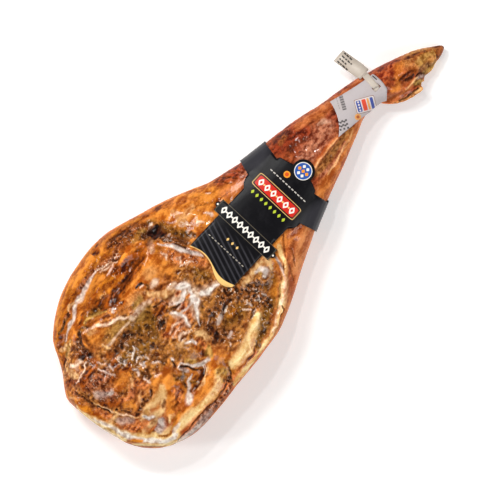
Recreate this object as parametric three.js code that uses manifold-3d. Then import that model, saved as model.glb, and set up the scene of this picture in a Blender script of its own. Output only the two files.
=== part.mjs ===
// A whole bone-in cured ham, cut from the shoulder, lying on its rind with the cut face up.
// It carries a die-cut card sleeve round the shank, a paper cuff at the wrist and a plastic strap tag.
// Millimetres, +Z up. The ham's own places are "along" (X, butt end to hoof tip) and "across"
// (Y, to the left of someone looking from the butt end to the hoof); the last step centres it all.
import * as THREE from "three";
import Module from "manifold-3d";
import { mergeVertices } from "three/addons/utils/BufferGeometryUtils.js";

const wasm = await Module();
wasm.setup();

// Driving dimensions
const hamLength = 660;
const topRingShare = 0.6; // of each ring's points lie on the upper half
const ringPoints = 54;
const ringSpans = [
  { to: 0.05 * hamLength, rings: 8, ease: "start" },
  { to: 0.5 * hamLength, rings: 45 },
  { to: 0.95 * hamLength, rings: 22 },
  { to: hamLength, rings: 7, ease: "end" },
];
const cardThickness = 0.7;
const cardLift = 1.1; // clear of the ham's skin
const paperThickness = 0.6;
const paperLift = 1.5;
const strapThickness = 0.5;
const strapLift = { onSkin: 0.5, overPaper: 3 };
const endMargin = 0.01; // kept from the ham's two end points, where its skin has no direction
const tangentStep = { along: 0.6, angle: 0.02 }; // between the places that a skin normal is worked out from
const weldDistance = 1e-4;
const curveSteps = 10;

// The ham's plan and side outlines at stations along it. edge is where the side is widest, as a height;
// squareness is the exponent of that quarter's superellipse, 2 for a round and more for a boxy quarter.
const stations = [
  { along: 0, right: 16, left: 20, bottom: 39, top: 42, edgeRight: 40.5, edgeLeft: 40.5, ridge: 18 },
  { along: 2, right: -26, left: 31, bottom: 25.5, top: 54.5, edgeRight: 40.5, edgeLeft: 39, ridge: 6 },
  { along: 6, right: -48, left: 37, bottom: 15.5, top: 62, edgeRight: 40.5, edgeLeft: 38, ridge: 0 },
  { along: 10, right: -67, left: 42, bottom: 9.5, top: 66, edgeRight: 41.5, edgeLeft: 38, ridge: -4 },
  { along: 20, right: -86, left: 53, bottom: 3.5, top: 72.5, edgeRight: 43, edgeLeft: 39, ridge: -8 },
  { along: 30, right: -98, left: 67, bottom: 0, top: 76.5, edgeRight: 46, edgeLeft: 39, ridge: -8 },
  { along: 45, right: -109.5, left: 92, bottom: -3, top: 79.5, edgeRight: 49, edgeLeft: 39, ridge: -6 },
  { along: 60, right: -116.5, left: 104, bottom: -5, top: 82, edgeRight: 52.5, edgeLeft: 39, ridge: -4 },
  { along: 80, right: -122.5, left: 116, bottom: -6, top: 84, edgeRight: 55.5, edgeLeft: 39, ridge: 0 },
  { along: 100, right: -124, left: 124.5, bottom: -6, top: 85.5, edgeRight: 58.5, edgeLeft: 39, ridge: 0 },
  { along: 130, right: -123.5, left: 131.5, bottom: -6, top: 87, edgeRight: 60, edgeLeft: 40, ridge: 2 },
  { along: 165, right: -121, left: 134.5, bottom: -6, top: 88, edgeRight: 61, edgeLeft: 40.5, ridge: 4 },
  { along: 190, right: -120.5, left: 132.5, bottom: -6, top: 88, edgeRight: 61, edgeLeft: 40.5, ridge: 4 },
  { along: 215, right: -118.5, left: 125, bottom: -5, top: 87, edgeRight: 59.5, edgeLeft: 40.5, ridge: 4 },
  { along: 240, right: -117, left: 116, bottom: -4, top: 86, edgeRight: 54.5, edgeLeft: 40.5, ridge: 3 },
  { along: 270, right: -108.5, left: 105, bottom: -1, top: 84.5, edgeRight: 46, edgeLeft: 41.5, ridge: 2 },
  { along: 300, right: -96.5, left: 91, bottom: 2.5, top: 82, edgeRight: 42, edgeLeft: 42, ridge: 1 },
  { along: 330, right: -83, left: 76, bottom: 6.5, top: 78.5, edgeRight: 41.5, edgeLeft: 42, ridge: 0 },
  { along: 370, right: -67.5, left: 64.5, bottom: 8, top: 77, edgeRight: 42.5, edgeLeft: 43, ridge: 0 },
  { along: 400, right: -57, left: 58.5, bottom: 9, top: 74, edgeRight: 41.5, edgeLeft: 42.5, ridge: 1 },
  { along: 430, right: -47.5, left: 53, bottom: 10, top: 70.5, edgeRight: 39.5, edgeLeft: 40.5, ridge: 3 },
  { along: 470, right: -35, left: 44, bottom: 11, top: 64, edgeRight: 39, edgeLeft: 39, ridge: 5 },
  { along: 500, right: -26, left: 35.5, bottom: 10.5, top: 59, edgeRight: 35, edgeLeft: 36, ridge: 5 },
  { along: 530, right: -17, left: 29, bottom: 9.5, top: 53.5, edgeRight: 31.5, edgeLeft: 32.5, ridge: 5 },
  { along: 550, right: -19.5, left: 24, bottom: 7.5, top: 50.5, edgeRight: 29, edgeLeft: 30, ridge: 2 },
  { along: 570, right: -32, left: 17, bottom: 5.5, top: 49, edgeRight: 26, edgeLeft: 27, ridge: -4 },
  { along: 590, right: -40, left: 9, bottom: 2.5, top: 45, edgeRight: 22.5, edgeLeft: 24.5, ridge: -11 },
  { along: 610, right: -41, left: 0.5, bottom: -0.5, top: 40, edgeRight: 19, edgeLeft: 20, ridge: -18 },
  { along: 630, right: -40.5, left: -9, bottom: -1.5, top: 31.5, edgeRight: 14.5, edgeLeft: 15.5, ridge: -24 },
  { along: 645, right: -39, left: -20, bottom: 1, top: 23.5, edgeRight: 12, edgeLeft: 12, ridge: -29 },
  { along: 655, right: -37.5, left: -28, bottom: 4.5, top: 16.5, edgeRight: 11, edgeLeft: 11, ridge: -32 },
  { along: 660, right: -33, left: -33, bottom: 10, top: 10, edgeRight: 10, edgeLeft: 10, ridge: -33 },
];
const squareness = [
  { along: 0, topRight: 2.2, topLeft: 2.2, under: 1.9 },
  { along: 60, topRight: 3.0, topLeft: 2.6, under: 1.85 },
  { along: 160, topRight: 3.3, topLeft: 2.7, under: 1.85 },
  { along: 260, topRight: 3.0, topLeft: 2.7, under: 1.85 },
  { along: 350, topRight: 2.6, topLeft: 2.6, under: 1.9 },
  { along: 440, topRight: 2.3, topLeft: 2.3, under: 2 },
  { along: 540, topRight: 2.1, topLeft: 2.1, under: 2 },
  { along: hamLength, topRight: 2, topLeft: 2, under: 2 },
];

// What shows on the cut face and the shank: each form is a stroke along a path of [along, across] places,
// its half width, and how far it stands out (or, below zero, how deep it goes).
const reliefForms = {
  rimLip: {
    path: [[338, -46], [318, -60], [296, -79], [268, -99], [236, -110], [165, -114], [80, -111],
      [52, -103], [32, -88], [18, -66], [11, -40], [9, -10], [11, 18]],
    halfWidth: 5.5, height: 3.2,
  },
  rimChannel: { path: [[322, -44], [296, -64], [262, -86], [232, -98]], halfWidth: 8, height: -2.4 },
  stripGroove: {
    path: [[34, 52], [22, 38], [20, 12], [23, -10], [31, -30], [44, -50], [58, -70], [66, -86]],
    halfWidth: 4.5, height: -3.4,
  },
  buttMound: { path: [[45, 20], [55, -8]], halfWidth: 30, height: 4.5 },
  lowerLumps: { path: [[62, -38], [88, -34], [100, -52]], halfWidth: 16, height: 3 },
  oliveHollow: { path: [[88, 28], [112, 22], [142, 20]], halfWidth: 18, height: -7 },
  hollowRidge: { path: [[74, 71], [98, 62], [120, 50], [142, 39], [172, 33]], halfWidth: 5, height: 4 },
  darkGroove: { path: [[108, 79], [150, 72], [182, 78], [206, 88]], halfWidth: 5, height: -6.5 },
  amberMound: { path: [[130, 60], [168, 62], [208, 70]], halfWidth: 15, height: 4.5 },
  upperRoll: { path: [[140, 92], [176, 93], [214, 97]], halfWidth: 8, height: 3 },
  leftGroove: { path: [[42, 74], [62, 87], [98, 101], [150, 109]], halfWidth: 6, height: -3 },
  buttNotch: { path: [[22, 63], [38, 66], [52, 72]], halfWidth: 6, height: -5 },
  boneDome: { path: [[143, -47], [152, -46]], halfWidth: 12, height: 4.5 },
  bonePocket: { path: [[116, -80], [142, -77]], halfWidth: 10, height: -7 },
  pocketRib: { path: [[98, -88], [122, -93], [148, -88], [168, -72]], halfWidth: 4.5, height: 2.6 },
  pocketLid: { path: [[112, -66], [128, -52], [140, -66]], halfWidth: 4, height: 2.4 },
  fatBandButt: { path: [[84, -99], [125, -102], [156, -95]], halfWidth: 8, height: 2.2 },
  fatBandMiddle: { path: [[178, -103], [212, -97], [246, -83]], halfWidth: 8, height: 2.6 },
  bandNotch: { path: [[160, -108], [169, -94]], halfWidth: 5, height: -3.5 },
  darkPit: { path: [[225, 93], [239, 90]], halfWidth: 8, height: -6.5 },
  faceStep: { path: [[240, 100], [256, 82], [268, 58]], halfWidth: 9, height: -3 },
  membraneLine: { path: [[222, 82], [235, 60], [247, 38]], halfWidth: 4, height: 2.2 },
  crustHollow: { path: [[190, -50], [232, -58], [266, -60]], halfWidth: 20, height: -2.4 },
  tendonRidge: { path: [[436, -5], [462, -8], [492, -9]], halfWidth: 5, height: 3.2 },
  tendonHollow: { path: [[424, -20], [455, -19], [486, -16]], halfWidth: 6.5, height: -3.6 },
  shankEdge: { path: [[424, -36], [470, -27], [505, -18]], halfWidth: 5, height: 1.6 },
  wristHollow: { path: [[576, -4], [586, -20]], halfWidth: 8, height: -2.6 },
  soleFold: { path: [[588, -27], [606, -33], [626, -36]], halfWidth: 5, height: -3.6 },
  toeCleft: { path: [[628, -24], [648, -31]], halfWidth: 3, height: -1.8 },
};
const strokeFalloff = 0.7; // how fast a form fades across its path
const facingUpwards = [0.05, 0.5]; // relief grows between these upward shares of the skin's normal
const faceFades = [300, 350]; // along, where the craggy cut face turns into smooth rind
// Crags of the dried face: waves of this length that stand out this far, strongest on the crust.
const crags = { wave: 17, height: 1.3, crustHeight: 1.9, seed: 7 };
const crustPlaces = [
  { path: [[190, -55], [230, -62], [270, -62]], halfWidth: 30 },
  { path: [[40, 50], [60, 45]], halfWidth: 22 },
  { path: [[215, 105], [248, 78], [258, 56]], halfWidth: 16 },
  { path: [[115, 0], [135, -12]], halfWidth: 22 },
];

const hashSteps = [127.1, 311.7, 74.7];
const hashScale = 43758.5453;

// The skin under the card, its band and the cuff is calm and slightly sunken. Each range names where it
// starts, is full, fades and ends.
const sunkenSkin = {
  depth: 0.9,
  sideShare: 0.6,
  panel: { along: [228, 242, 434, 446], across: [50, 58] },
  band: [360, 370, 414, 424],
  wrist: [474, 484, 572, 582],
};

// Claws and dewclaws of the dried trotter: [along, across, up] places and radii from root to tip.
const claws = {
  outerClaw: { path: [[606, -18, 21.5], [634, -25, 17], [660, -33.5, 11]], radii: [13, 9.5, 2.6] },
  innerClaw: { path: [[606, -24, 12.5], [630, -32, 9.5], [651, -38.5, 7]], radii: [12, 8, 2.6] },
  toePad: { path: [[590, -27, 23.5], [604, -37, 20], [610, -43, 17]], radii: [9, 6, 3.2] },
  soleRag: { path: [[606, -27, 20], [620, -37, 16.5], [630, -42.5, 13.5]], radii: [9, 5.5, 2.6] },
  outerDewclaw: { path: [[550, -14, 23.5], [573, -36, 25.5], [603, -49, 24.5]], radii: [7, 7.2, 4] },
  innerDewclaw: { path: [[557, -2, 18], [575, -28, 13.5], [592, -40, 10]], radii: [4, 6, 3.2] },
};
// Each end of a claw is rounded off over roundShare of its length.
const clawShape = { steps: 9, around: 10, roundShare: 0.15 };

// The card, flat, in its own axes: length from the shoulder of the shield towards the hoof, half widths
// across. It lies a little turned on the ham.
const card = {
  place: [350, 0.2],
  turn: THREE.MathUtils.degToRad(-1.7),
  panelHalf: 37.8,
  // the wavy free end as two curves of [along, share of the panel's half width across]
  freeEnd: { start: [-100, 1], curves: [
    [[-93, 0.7], [-93, 0.2], [-101, -0.1]],
    [[-109, -0.4], [-111, -0.8], [-100, -1]],
  ] },
  bar: { start: -44.8, end: -27, half: 47.2, knob: 4, diagonal: 2.8 },
  shieldHalf: 45.6,
  shieldStart: 1,
  shoulder: [[7, 43.1], [13, 45.2]],
  wing: { start: 17.5, root: 57.4, rootHalf: 33, flare: 6.3, half: 66, reach: 90 },
  step: { out: 4, half: 30.5 },
  crest: { centre: 68.8, offset: -2.8, radius: 15, neckHalf: 18.75, openingDegrees: 98 },
  // the front is cut down to this height and the band from below it, a little over the front; the cut
  // starts at twice the height that the ham has at this place along it
  cut: { height: 50, overlap: 0.5, low: -20, highFrom: 200 },
  wrap: { from: 232, to: 442, steps: 20, over: 22, under: 12 },
};
// The cuff in plan, from its hoof end on the left round by the butt end and back along the right.
const cuff = {
  leftHoof: [571, 11],
  leftBend: [550, 14],
  leftButt: [508, 28.5],
  buttBend: [502, 4],
  tail: [481, -9.8],
  rightEdge: [[520, -16], [532, -19], [538, -26], [556, -26]],
  rightHoof: [568, -16],
  nose: [573, -5],
  wrap: { from: 474, to: 580, steps: 12, fromAngle: 12, toAngle: 150, angleSteps: 14 },
  cut: { low: -10, high: 120 },
};
// The strap comes up through a slit in the cuff, runs over it to the left and back under the wrist.
const strap = {
  halfWidth: 4,
  // [angle, along]
  places: [[0, 540], [60, 556], [84, 560.6], [144, 562.6], [180, 562], [270, 547], [360, 540]],
  slit: { along: 560.6, right: -7.4, left: -0.6, clearance: 0.9 },
  riseAngles: [82, 86],
  fallAngles: [158, 180],
  wrap: { steps: 2, over: 16, under: 12 },
  flagAngle: 144, // where the flag leaves the strap
  flag: {
    tip: [559.6, 59.5], rootHalf: 8.4, half: 9.3, widensOver: 0.3, thickness: 1.3,
    droop: 5, wave: 1.2, waves: 1.5, steps: 8,
  },
};

// Monotone cubic through the stations. The ends are round, so it runs over an angle and not over length.
const roundEnds = (along) => Math.acos(1 - (2 * THREE.MathUtils.clamp(along, 0, hamLength)) / hamLength);
function curveThrough(rows, key) {
  const at = rows.map((row) => roundEnds(row.along));
  const value = rows.map((row) => row[key]);
  const rise = at.slice(1).map((a, i) => (value[i + 1] - value[i]) / (a - at[i]));
  const slope = value.map((_, i) => {
    if (i === 0) return rise[0];
    if (i === rise.length) return rise[i - 1];
    return rise[i - 1] * rise[i] <= 0 ? 0 : (2 * rise[i - 1] * rise[i]) / (rise[i - 1] + rise[i]);
  });
  return (along) => {
    const a = roundEnds(along);
    let i = 0;
    while (i < rise.length - 1 && a > at[i + 1]) i += 1;
    const span = at[i + 1] - at[i];
    const t = THREE.MathUtils.clamp((a - at[i]) / span, 0, 1);
    const back = 1 - t;
    return back * back * (1 + 2 * t) * value[i] + t * back * back * span * slope[i]
      + t * t * (3 - 2 * t) * value[i + 1] - t * t * back * span * slope[i + 1];
  };
}
const curvesOf = (rows, keys) => Object.fromEntries(keys.map((key) => [key, curveThrough(rows, key)]));
const outline = curvesOf(stations, ["right", "left", "bottom", "top", "edgeRight", "edgeLeft", "ridge"]);
const square = curvesOf(squareness, ["topRight", "topLeft", "under"]);

// A point of the smooth ham: the angle starts at the right-hand side and goes over the top.
function skinPoint(along, angle) {
  const c = Math.cos(angle);
  const s = Math.sin(angle);
  const onRight = c > 0;
  const upper = onRight ? square.topRight(along) : square.topLeft(along);
  const power = s > 0 ? upper : square.under(along);
  const stretch = (Math.abs(c) ** power + Math.abs(s) ** power) ** (-1 / power);
  const ridge = outline.ridge(along);
  const side = onRight ? ridge - outline.right(along) : outline.left(along) - ridge;
  const edge = onRight ? outline.edgeRight(along) : outline.edgeLeft(along);
  const rise = s > 0 ? outline.top(along) - edge : edge - outline.bottom(along);
  return new THREE.Vector3(along, ridge - c * stretch * side, edge + s * stretch * rise);
}

function skinNormal(along, angle) {
  const back = Math.max(along - tangentStep.along, endMargin);
  const ahead = Math.min(along + tangentStep.along, hamLength - endMargin);
  const lengthwise = skinPoint(ahead, angle).sub(skinPoint(back, angle));
  const turn = tangentStep.angle;
  const around = skinPoint(along, angle + turn).sub(skinPoint(along, angle - turn));
  return lengthwise.cross(around).normalize();
}

const smooth = (x, low, high) => THREE.MathUtils.smoothstep(x, low, high);
const within = (x, [start, full, fades, end]) => smooth(x, start, full) * (1 - smooth(x, fades, end));

// 1 on the path and 0 beyond about two half widths from it.
function strokeWeight(along, across, { path, halfWidth }) {
  let nearest = Infinity;
  const legs = Math.max(path.length - 1, 1);
  for (let i = 0; i < legs; i += 1) {
    const [ax, ay] = path[i];
    const [bx, by] = path[Math.min(i + 1, path.length - 1)];
    const [dx, dy] = [bx - ax, by - ay];
    const length = dx ** 2 + dy ** 2;
    const t = length ? THREE.MathUtils.clamp(((along - ax) * dx + (across - ay) * dy) / length, 0, 1) : 0;
    nearest = Math.min(nearest, Math.hypot(along - ax - t * dx, across - ay - t * dy));
  }
  return Math.exp(-strokeFalloff * (nearest / halfWidth) ** 2);
}

// Value noise from -1 to 1, the same on every run.
function hashed(i, j, k) {
  const n = Math.sin(i * hashSteps[0] + j * hashSteps[1] + k * hashSteps[2] + crags.seed) * hashScale;
  return 2 * (n - Math.floor(n)) - 1;
}
function noise(x, y, z) {
  const cell = [x, y, z].map(Math.floor);
  const [u, v, w] = [x, y, z].map((p, i) => (p - cell[i]) ** 2 * (3 - 2 * (p - cell[i])));
  const mix = THREE.MathUtils.lerp;
  const corner = (i, j, k) => hashed(cell[0] + i, cell[1] + j, cell[2] + k);
  const edge = (j, k) => mix(corner(0, j, k), corner(1, j, k), u);
  return mix(mix(edge(0, 0), edge(1, 0), v), mix(edge(0, 1), edge(1, 1), v), w);
}

// 1 where the card, its band or the cuff lies on the skin, 0 elsewhere.
function underWrapping(along, across) {
  const { panel, band, wrist } = sunkenSkin;
  const front = within(along, panel.along) * (1 - smooth(Math.abs(across), ...panel.across));
  return Math.max(front, within(along, band), within(along, wrist));
}

function relief(point, normal) {
  const [along, across] = [point.x, point.y];
  const facingUp = smooth(normal.z, ...facingUpwards);
  let height = 0;
  for (const form of Object.values(reliefForms)) height += form.height * strokeWeight(along, across, form);
  const onFace = 1 - smooth(along, ...faceFades);
  const crust = Math.max(...crustPlaces.map((place) => strokeWeight(along, across, place)));
  const rough = crags.height * onFace + (crags.crustHeight - crags.height) * crust;
  const wave = noise(along / crags.wave, across / crags.wave, point.z / crags.wave);
  const calm = underWrapping(along, across);
  const sunk = sunkenSkin.depth * calm * (facingUp > 0 ? 1 : sunkenSkin.sideShare);
  return facingUp * (height + rough * wave) * (1 - calm) - sunk;
}

// A closed surface from rings of points, with a single point at each end.
function closedFromRings(rings, startPoint, endPoint) {
  const n = rings[0].length;
  const positions = [startPoint, ...rings.flat(), endPoint].flatMap((p) => p.toArray());
  const index = [];
  const place = (ring, i) => 1 + ring * n + (i % n);
  const last = 1 + rings.length * n;
  for (let i = 0; i < n; i += 1) {
    index.push(0, place(0, i), place(0, i + 1));
    index.push(last, place(rings.length - 1, i + 1), place(rings.length - 1, i));
    for (let ring = 0; ring + 1 < rings.length; ring += 1) {
      const [a, b] = [place(ring, i), place(ring, i + 1)];
      const [c, d] = [place(ring + 1, i), place(ring + 1, i + 1)];
      index.push(a, c, d, a, d, b);
    }
  }
  const geometry = new THREE.BufferGeometry();
  geometry.setAttribute("position", new THREE.Float32BufferAttribute(positions, 3));
  geometry.setIndex(index);
  return geometry;
}

function solidFrom(geometry) {
  const bare = geometry.clone();
  bare.deleteAttribute("normal");
  bare.deleteAttribute("uv");
  const merged = mergeVertices(bare, weldDistance);
  const solid = new wasm.Manifold(new wasm.Mesh({
    numProp: 3,
    vertProperties: merged.attributes.position.array,
    triVerts: new Uint32Array(merged.index.array),
  }));
  return solid;
}

function geometryFrom(solid) {
  const { vertProperties, triVerts } = solid.getMesh();
  const geometry = new THREE.BufferGeometry();
  geometry.setAttribute("position", new THREE.BufferAttribute(vertProperties, 3));
  geometry.setIndex(new THREE.BufferAttribute(triVerts, 1));
  geometry.computeVertexNormals();
  return geometry;
}

function ringPlaces() {
  const places = [];
  let from = 0;
  for (const { to, rings, ease } of ringSpans) {
    for (let i = 1; i <= rings; i += 1) {
      let share = i / rings;
      if (ease === "start") share = 1 - Math.cos((share * Math.PI) / 2);
      if (ease === "end") share = Math.sin((share * Math.PI) / 2);
      const along = from + (to - from) * share;
      if (along < hamLength - endMargin) places.push(along);
    }
    from = to;
  }
  return places;
}

function ringAngles() {
  const upper = Math.round(ringPoints * topRingShare);
  const over = Array.from({ length: upper }, (_, i) => (i / upper) * Math.PI);
  const lower = ringPoints - upper;
  const under = Array.from({ length: lower }, (_, i) => Math.PI + (i / lower) * Math.PI);
  return [...over, ...under];
}

function hamBody() {
  const angles = ringAngles();
  const rings = ringPlaces().map((along) => angles.map((angle) => {
    const point = skinPoint(along, angle);
    const normal = skinNormal(along, angle);
    point.addScaledVector(normal, relief(point, normal));
    point.z = Math.max(point.z, 0); // it rests flat on its rind
    return point;
  }));
  return solidFrom(closedFromRings(rings, skinPoint(0, 0), skinPoint(hamLength, 0)));
}

// A tapered, round-ended finger along a curve through three places.
function finger({ path, radii }) {
  const points = path.map((p) => new THREE.Vector3(...p));
  const curve = new THREE.CatmullRomCurve3(points);
  const { steps, around, roundShare } = clawShape;
  const rings = [];
  for (let i = 1; i < steps; i += 1) {
    const t = (1 - Math.cos((i / steps) * Math.PI)) / 2;
    const roundEnd = Math.sqrt(Math.max(1 - Math.max(0, (t - 1 + roundShare) / roundShare) ** 2, 0));
    const first = THREE.MathUtils.lerp(radii[0], radii[1], Math.min(2 * t, 1));
    const radius = THREE.MathUtils.lerp(first, radii[2], Math.max(2 * t - 1, 0)) * roundEnd;
    const start = Math.min(1, Math.sqrt(t / roundShare));
    const centre = curve.getPoint(t);
    const ahead = curve.getTangent(t);
    const sideways = new THREE.Vector3(0, 0, 1).cross(ahead).normalize();
    const upwards = ahead.clone().cross(sideways);
    rings.push(Array.from({ length: around }, (_, j) => {
      const a = (j / around) * 2 * Math.PI;
      return centre.clone()
        .addScaledVector(sideways, -Math.cos(a) * radius * start)
        .addScaledVector(upwards, Math.sin(a) * radius * start);
    }));
  }
  return solidFrom(closedFromRings(rings, points[0], points[2]));
}

function ham() {
  let whole = hamBody();
  for (const claw of Object.values(claws)) whole = whole.add(finger(claw));
  return whole;
}

// A thin solid that follows the smooth skin at a lift, over a range along it and a range of angles.
// It is a strip with two long edges or, where the angles run all the way round, a sleeve.
function wrapping({ from, to, steps, angles, isSleeve, liftAt, thickness, shiftAt = () => 0 }) {
  const layer = (height) => Array.from({ length: steps + 1 }, (_, i) => angles.map((angle) => {
    const along = from + ((to - from) * i) / steps + shiftAt(angle);
    return skinPoint(along, angle).addScaledVector(skinNormal(along, angle), liftAt(angle) + height);
  }));
  const [inner, outer] = [layer(0), layer(thickness)];
  const [rows, columns] = [steps + 1, angles.length];
  const positions = [...inner.flat(), ...outer.flat()].flatMap((p) => p.toArray());
  const place = (side, i, j) => side * rows * columns + i * columns + (j % columns);
  const index = [];
  const quad = (a, b, c, d) => index.push(a, b, c, a, c, d);
  const cells = isSleeve ? columns : columns - 1;
  for (let j = 0; j < cells; j += 1) {
    for (let i = 0; i < steps; i += 1) {
      quad(place(1, i, j), place(1, i + 1, j), place(1, i + 1, j + 1), place(1, i, j + 1));
      quad(place(0, i, j), place(0, i, j + 1), place(0, i + 1, j + 1), place(0, i + 1, j));
    }
    quad(place(0, 0, j), place(1, 0, j), place(1, 0, j + 1), place(0, 0, j + 1));
    quad(place(1, steps, j), place(0, steps, j), place(0, steps, j + 1), place(1, steps, j + 1));
  }
  for (let i = 0; i < steps && !isSleeve; i += 1) {
    quad(place(0, i, 0), place(0, i + 1, 0), place(1, i + 1, 0), place(1, i, 0));
    quad(place(1, i, cells), place(1, i + 1, cells), place(0, i + 1, cells), place(0, i, cells));
  }
  const geometry = new THREE.BufferGeometry();
  geometry.setAttribute("position", new THREE.Float32BufferAttribute(positions, 3));
  geometry.setIndex(index);
  return solidFrom(geometry);
}

// Angles over the skin in even steps, from and to a number of degrees.
function anglesFrom(start, end, steps) {
  const degreesAt = (i) => start + ((end - start) * i) / steps;
  return Array.from({ length: steps + 1 }, (_, i) => THREE.MathUtils.degToRad(degreesAt(i)));
}

// Angles all the way round, closer together over the top.
function anglesRound(over, under) {
  return [...anglesFrom(0, 180, over).slice(0, -1), ...anglesFrom(180, 360, under).slice(0, -1)];
}

function prism(shape, low, high) {
  const options = { depth: high - low, bevelEnabled: false, curveSegments: curveSteps };
  const geometry = new THREE.ExtrudeGeometry(shape, options);
  geometry.translate(0, 0, low);
  return solidFrom(geometry);
}

// The card's die-cut front, in plan, before it is turned on to the ham.
function cardFront() {
  const { freeEnd, panelHalf, bar, shieldHalf, shieldStart, shoulder, wing, step, crest } = card;
  const shape = new THREE.Shape();
  const onPanel = ([along, share]) => [along, share * panelHalf];
  shape.moveTo(...onPanel(freeEnd.start));
  for (const curve of freeEnd.curves) shape.bezierCurveTo(...curve.flatMap(onPanel));
  const middle = (bar.start + bar.end) / 2;
  const wingEnds = [wing.start + wing.flare, wing.root + wing.flare];
  const half = [
    [bar.start, panelHalf], [bar.start, bar.half], [middle - bar.knob, bar.half],
    [middle - bar.diagonal, bar.half + bar.diagonal], [middle, bar.half + bar.knob],
    [middle + bar.diagonal, bar.half + bar.diagonal], [middle + bar.knob, bar.half],
    [bar.end, bar.half], [bar.end, panelHalf], [shieldStart, panelHalf], ...shoulder,
    [wing.start, shieldHalf], [wingEnds[0], wing.half], [wingEnds[0], wing.reach],
    [wingEnds[1], wing.reach], [wingEnds[1], wing.half], [wing.root, wing.rootHalf],
    [wing.root + step.out, step.half],
  ];
  const neck = (sign) => [wing.root + 2 * step.out, crest.offset + sign * crest.neckHalf];
  const side = (sign) => [...half.map(([along, across]) => [along, sign * across]), neck(sign)];
  for (const [a, b] of side(-1)) shape.lineTo(a, b);
  const opening = THREE.MathUtils.degToRad(crest.openingDegrees);
  shape.absarc(crest.centre, crest.offset, crest.radius, -opening, opening, false);
  for (const [a, b] of side(1).reverse()) shape.lineTo(a, b);
  return shape;
}

// The card's two wings meet behind the shank as one band.
function cardBand() {
  const { wing } = card;
  const [start, end] = [wing.start + wing.flare, wing.root + wing.flare];
  const shape = new THREE.Shape();
  shape.moveTo(start, -wing.reach);
  shape.lineTo(end, -wing.reach);
  shape.lineTo(end, wing.reach);
  shape.lineTo(start, wing.reach);
  return shape;
}

function turnedOn(solid, { place, turn }) {
  return solid.rotate([0, 0, THREE.MathUtils.radToDeg(turn)]).translate([place[0], place[1], 0]);
}

function sleeveCard() {
  const { cut, wrap } = card;
  const high = 2 * outline.top(cut.highFrom);
  const front = turnedOn(prism(cardFront(), cut.height, high), card);
  const behind = turnedOn(prism(cardBand(), cut.low, cut.height + cut.overlap), card);
  const sleeve = wrapping({
    ...wrap, angles: anglesRound(wrap.over, wrap.under), isSleeve: true,
    liftAt: () => cardLift, thickness: cardThickness,
  });
  return sleeve.intersect(front.add(behind));
}

// The slit in the cuff that the strap comes up through, in plan.
function slitOutline() {
  const { halfWidth, slit } = strap;
  const half = halfWidth + slit.clearance;
  const shape = new THREE.Shape();
  shape.moveTo(slit.along - half, slit.right);
  shape.lineTo(slit.along + half, slit.right);
  shape.lineTo(slit.along + half, slit.left);
  shape.lineTo(slit.along - half, slit.left);
  return shape;
}

function paperCuff() {
  const { leftHoof, leftBend, leftButt, buttBend, tail, rightEdge, rightHoof, nose, wrap, cut } = cuff;
  const plan = new THREE.Shape();
  plan.moveTo(...leftHoof);
  plan.quadraticCurveTo(...leftBend, ...leftButt);
  plan.quadraticCurveTo(...buttBend, ...tail);
  for (const place of rightEdge) plan.lineTo(...place);
  plan.lineTo(...rightHoof);
  plan.quadraticCurveTo(...nose, ...leftHoof);
  const shell = wrapping({
    ...wrap, angles: anglesFrom(wrap.fromAngle, wrap.toAngle, wrap.angleSteps), isSleeve: false,
    liftAt: () => paperLift, thickness: paperThickness,
  });
  const opening = prism(slitOutline(), outline.edgeLeft(strap.slit.along), cut.high);
  return shell.intersect(prism(plan, cut.low, cut.high)).subtract(opening);
}

function strapTag() {
  const { places, halfWidth, riseAngles, fallAngles, wrap, flagAngle, flag } = strap;
  const placeAt = (degrees) => {
    const next = Math.max(places.findIndex(([angle]) => angle >= degrees), 1);
    const [[fromAngle, from], [toAngle, to]] = [places[next - 1], places[next]];
    return THREE.MathUtils.mapLinear(degrees, fromAngle, toAngle, from, to);
  };
  const liftAt = (angle) => {
    const degrees = THREE.MathUtils.radToDeg(angle);
    const over = within(degrees, [...riseAngles, ...fallAngles]);
    return THREE.MathUtils.lerp(strapLift.onSkin, strapLift.overPaper, over);
  };
  const risingAngles = riseAngles.map(THREE.MathUtils.degToRad);
  const loop = wrapping({
    from: -halfWidth, to: halfWidth, steps: wrap.steps,
    shiftAt: (angle) => placeAt(THREE.MathUtils.radToDeg(angle)),
    angles: [...anglesRound(wrap.over, wrap.under), ...risingAngles].sort((a, b) => a - b),
    isSleeve: true, liftAt, thickness: strapThickness,
  });
  const leaving = THREE.MathUtils.degToRad(flagAngle);
  const root = skinPoint(placeAt(flagAngle), leaving)
    .addScaledVector(skinNormal(placeAt(flagAngle), leaving), strapLift.overPaper);
  const rows = Array.from({ length: flag.steps + 1 }, (_, i) => {
    const t = i / flag.steps;
    const middle = THREE.MathUtils.lerp(root.x, flag.tip[0], t);
    const across = THREE.MathUtils.lerp(root.y, flag.tip[1], t);
    const half = THREE.MathUtils.lerp(flag.rootHalf, flag.half, smooth(t, 0, flag.widensOver));
    const up = root.z - flag.droop * t * t + flag.wave * Math.sin(2 * Math.PI * flag.waves * t);
    return { across, middle, half, up };
  });
  const corner = ({ across, middle, half, up }, side, lift) => (
    new THREE.Vector3(middle + side * half, across, up + lift)
  );
  const rings = rows.map((row) => [
    corner(row, -1, 0), corner(row, 1, 0), corner(row, 1, flag.thickness), corner(row, -1, flag.thickness),
  ]);
  const sumOf = (ring) => ring.reduce((sum, point) => sum.add(point), new THREE.Vector3());
  const middleOf = (ring) => sumOf(ring).divideScalar(ring.length);
  const plate = closedFromRings(rings, middleOf(rings[0]), middleOf(rings[rings.length - 1]));
  return loop.add(solidFrom(plate));
}

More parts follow.
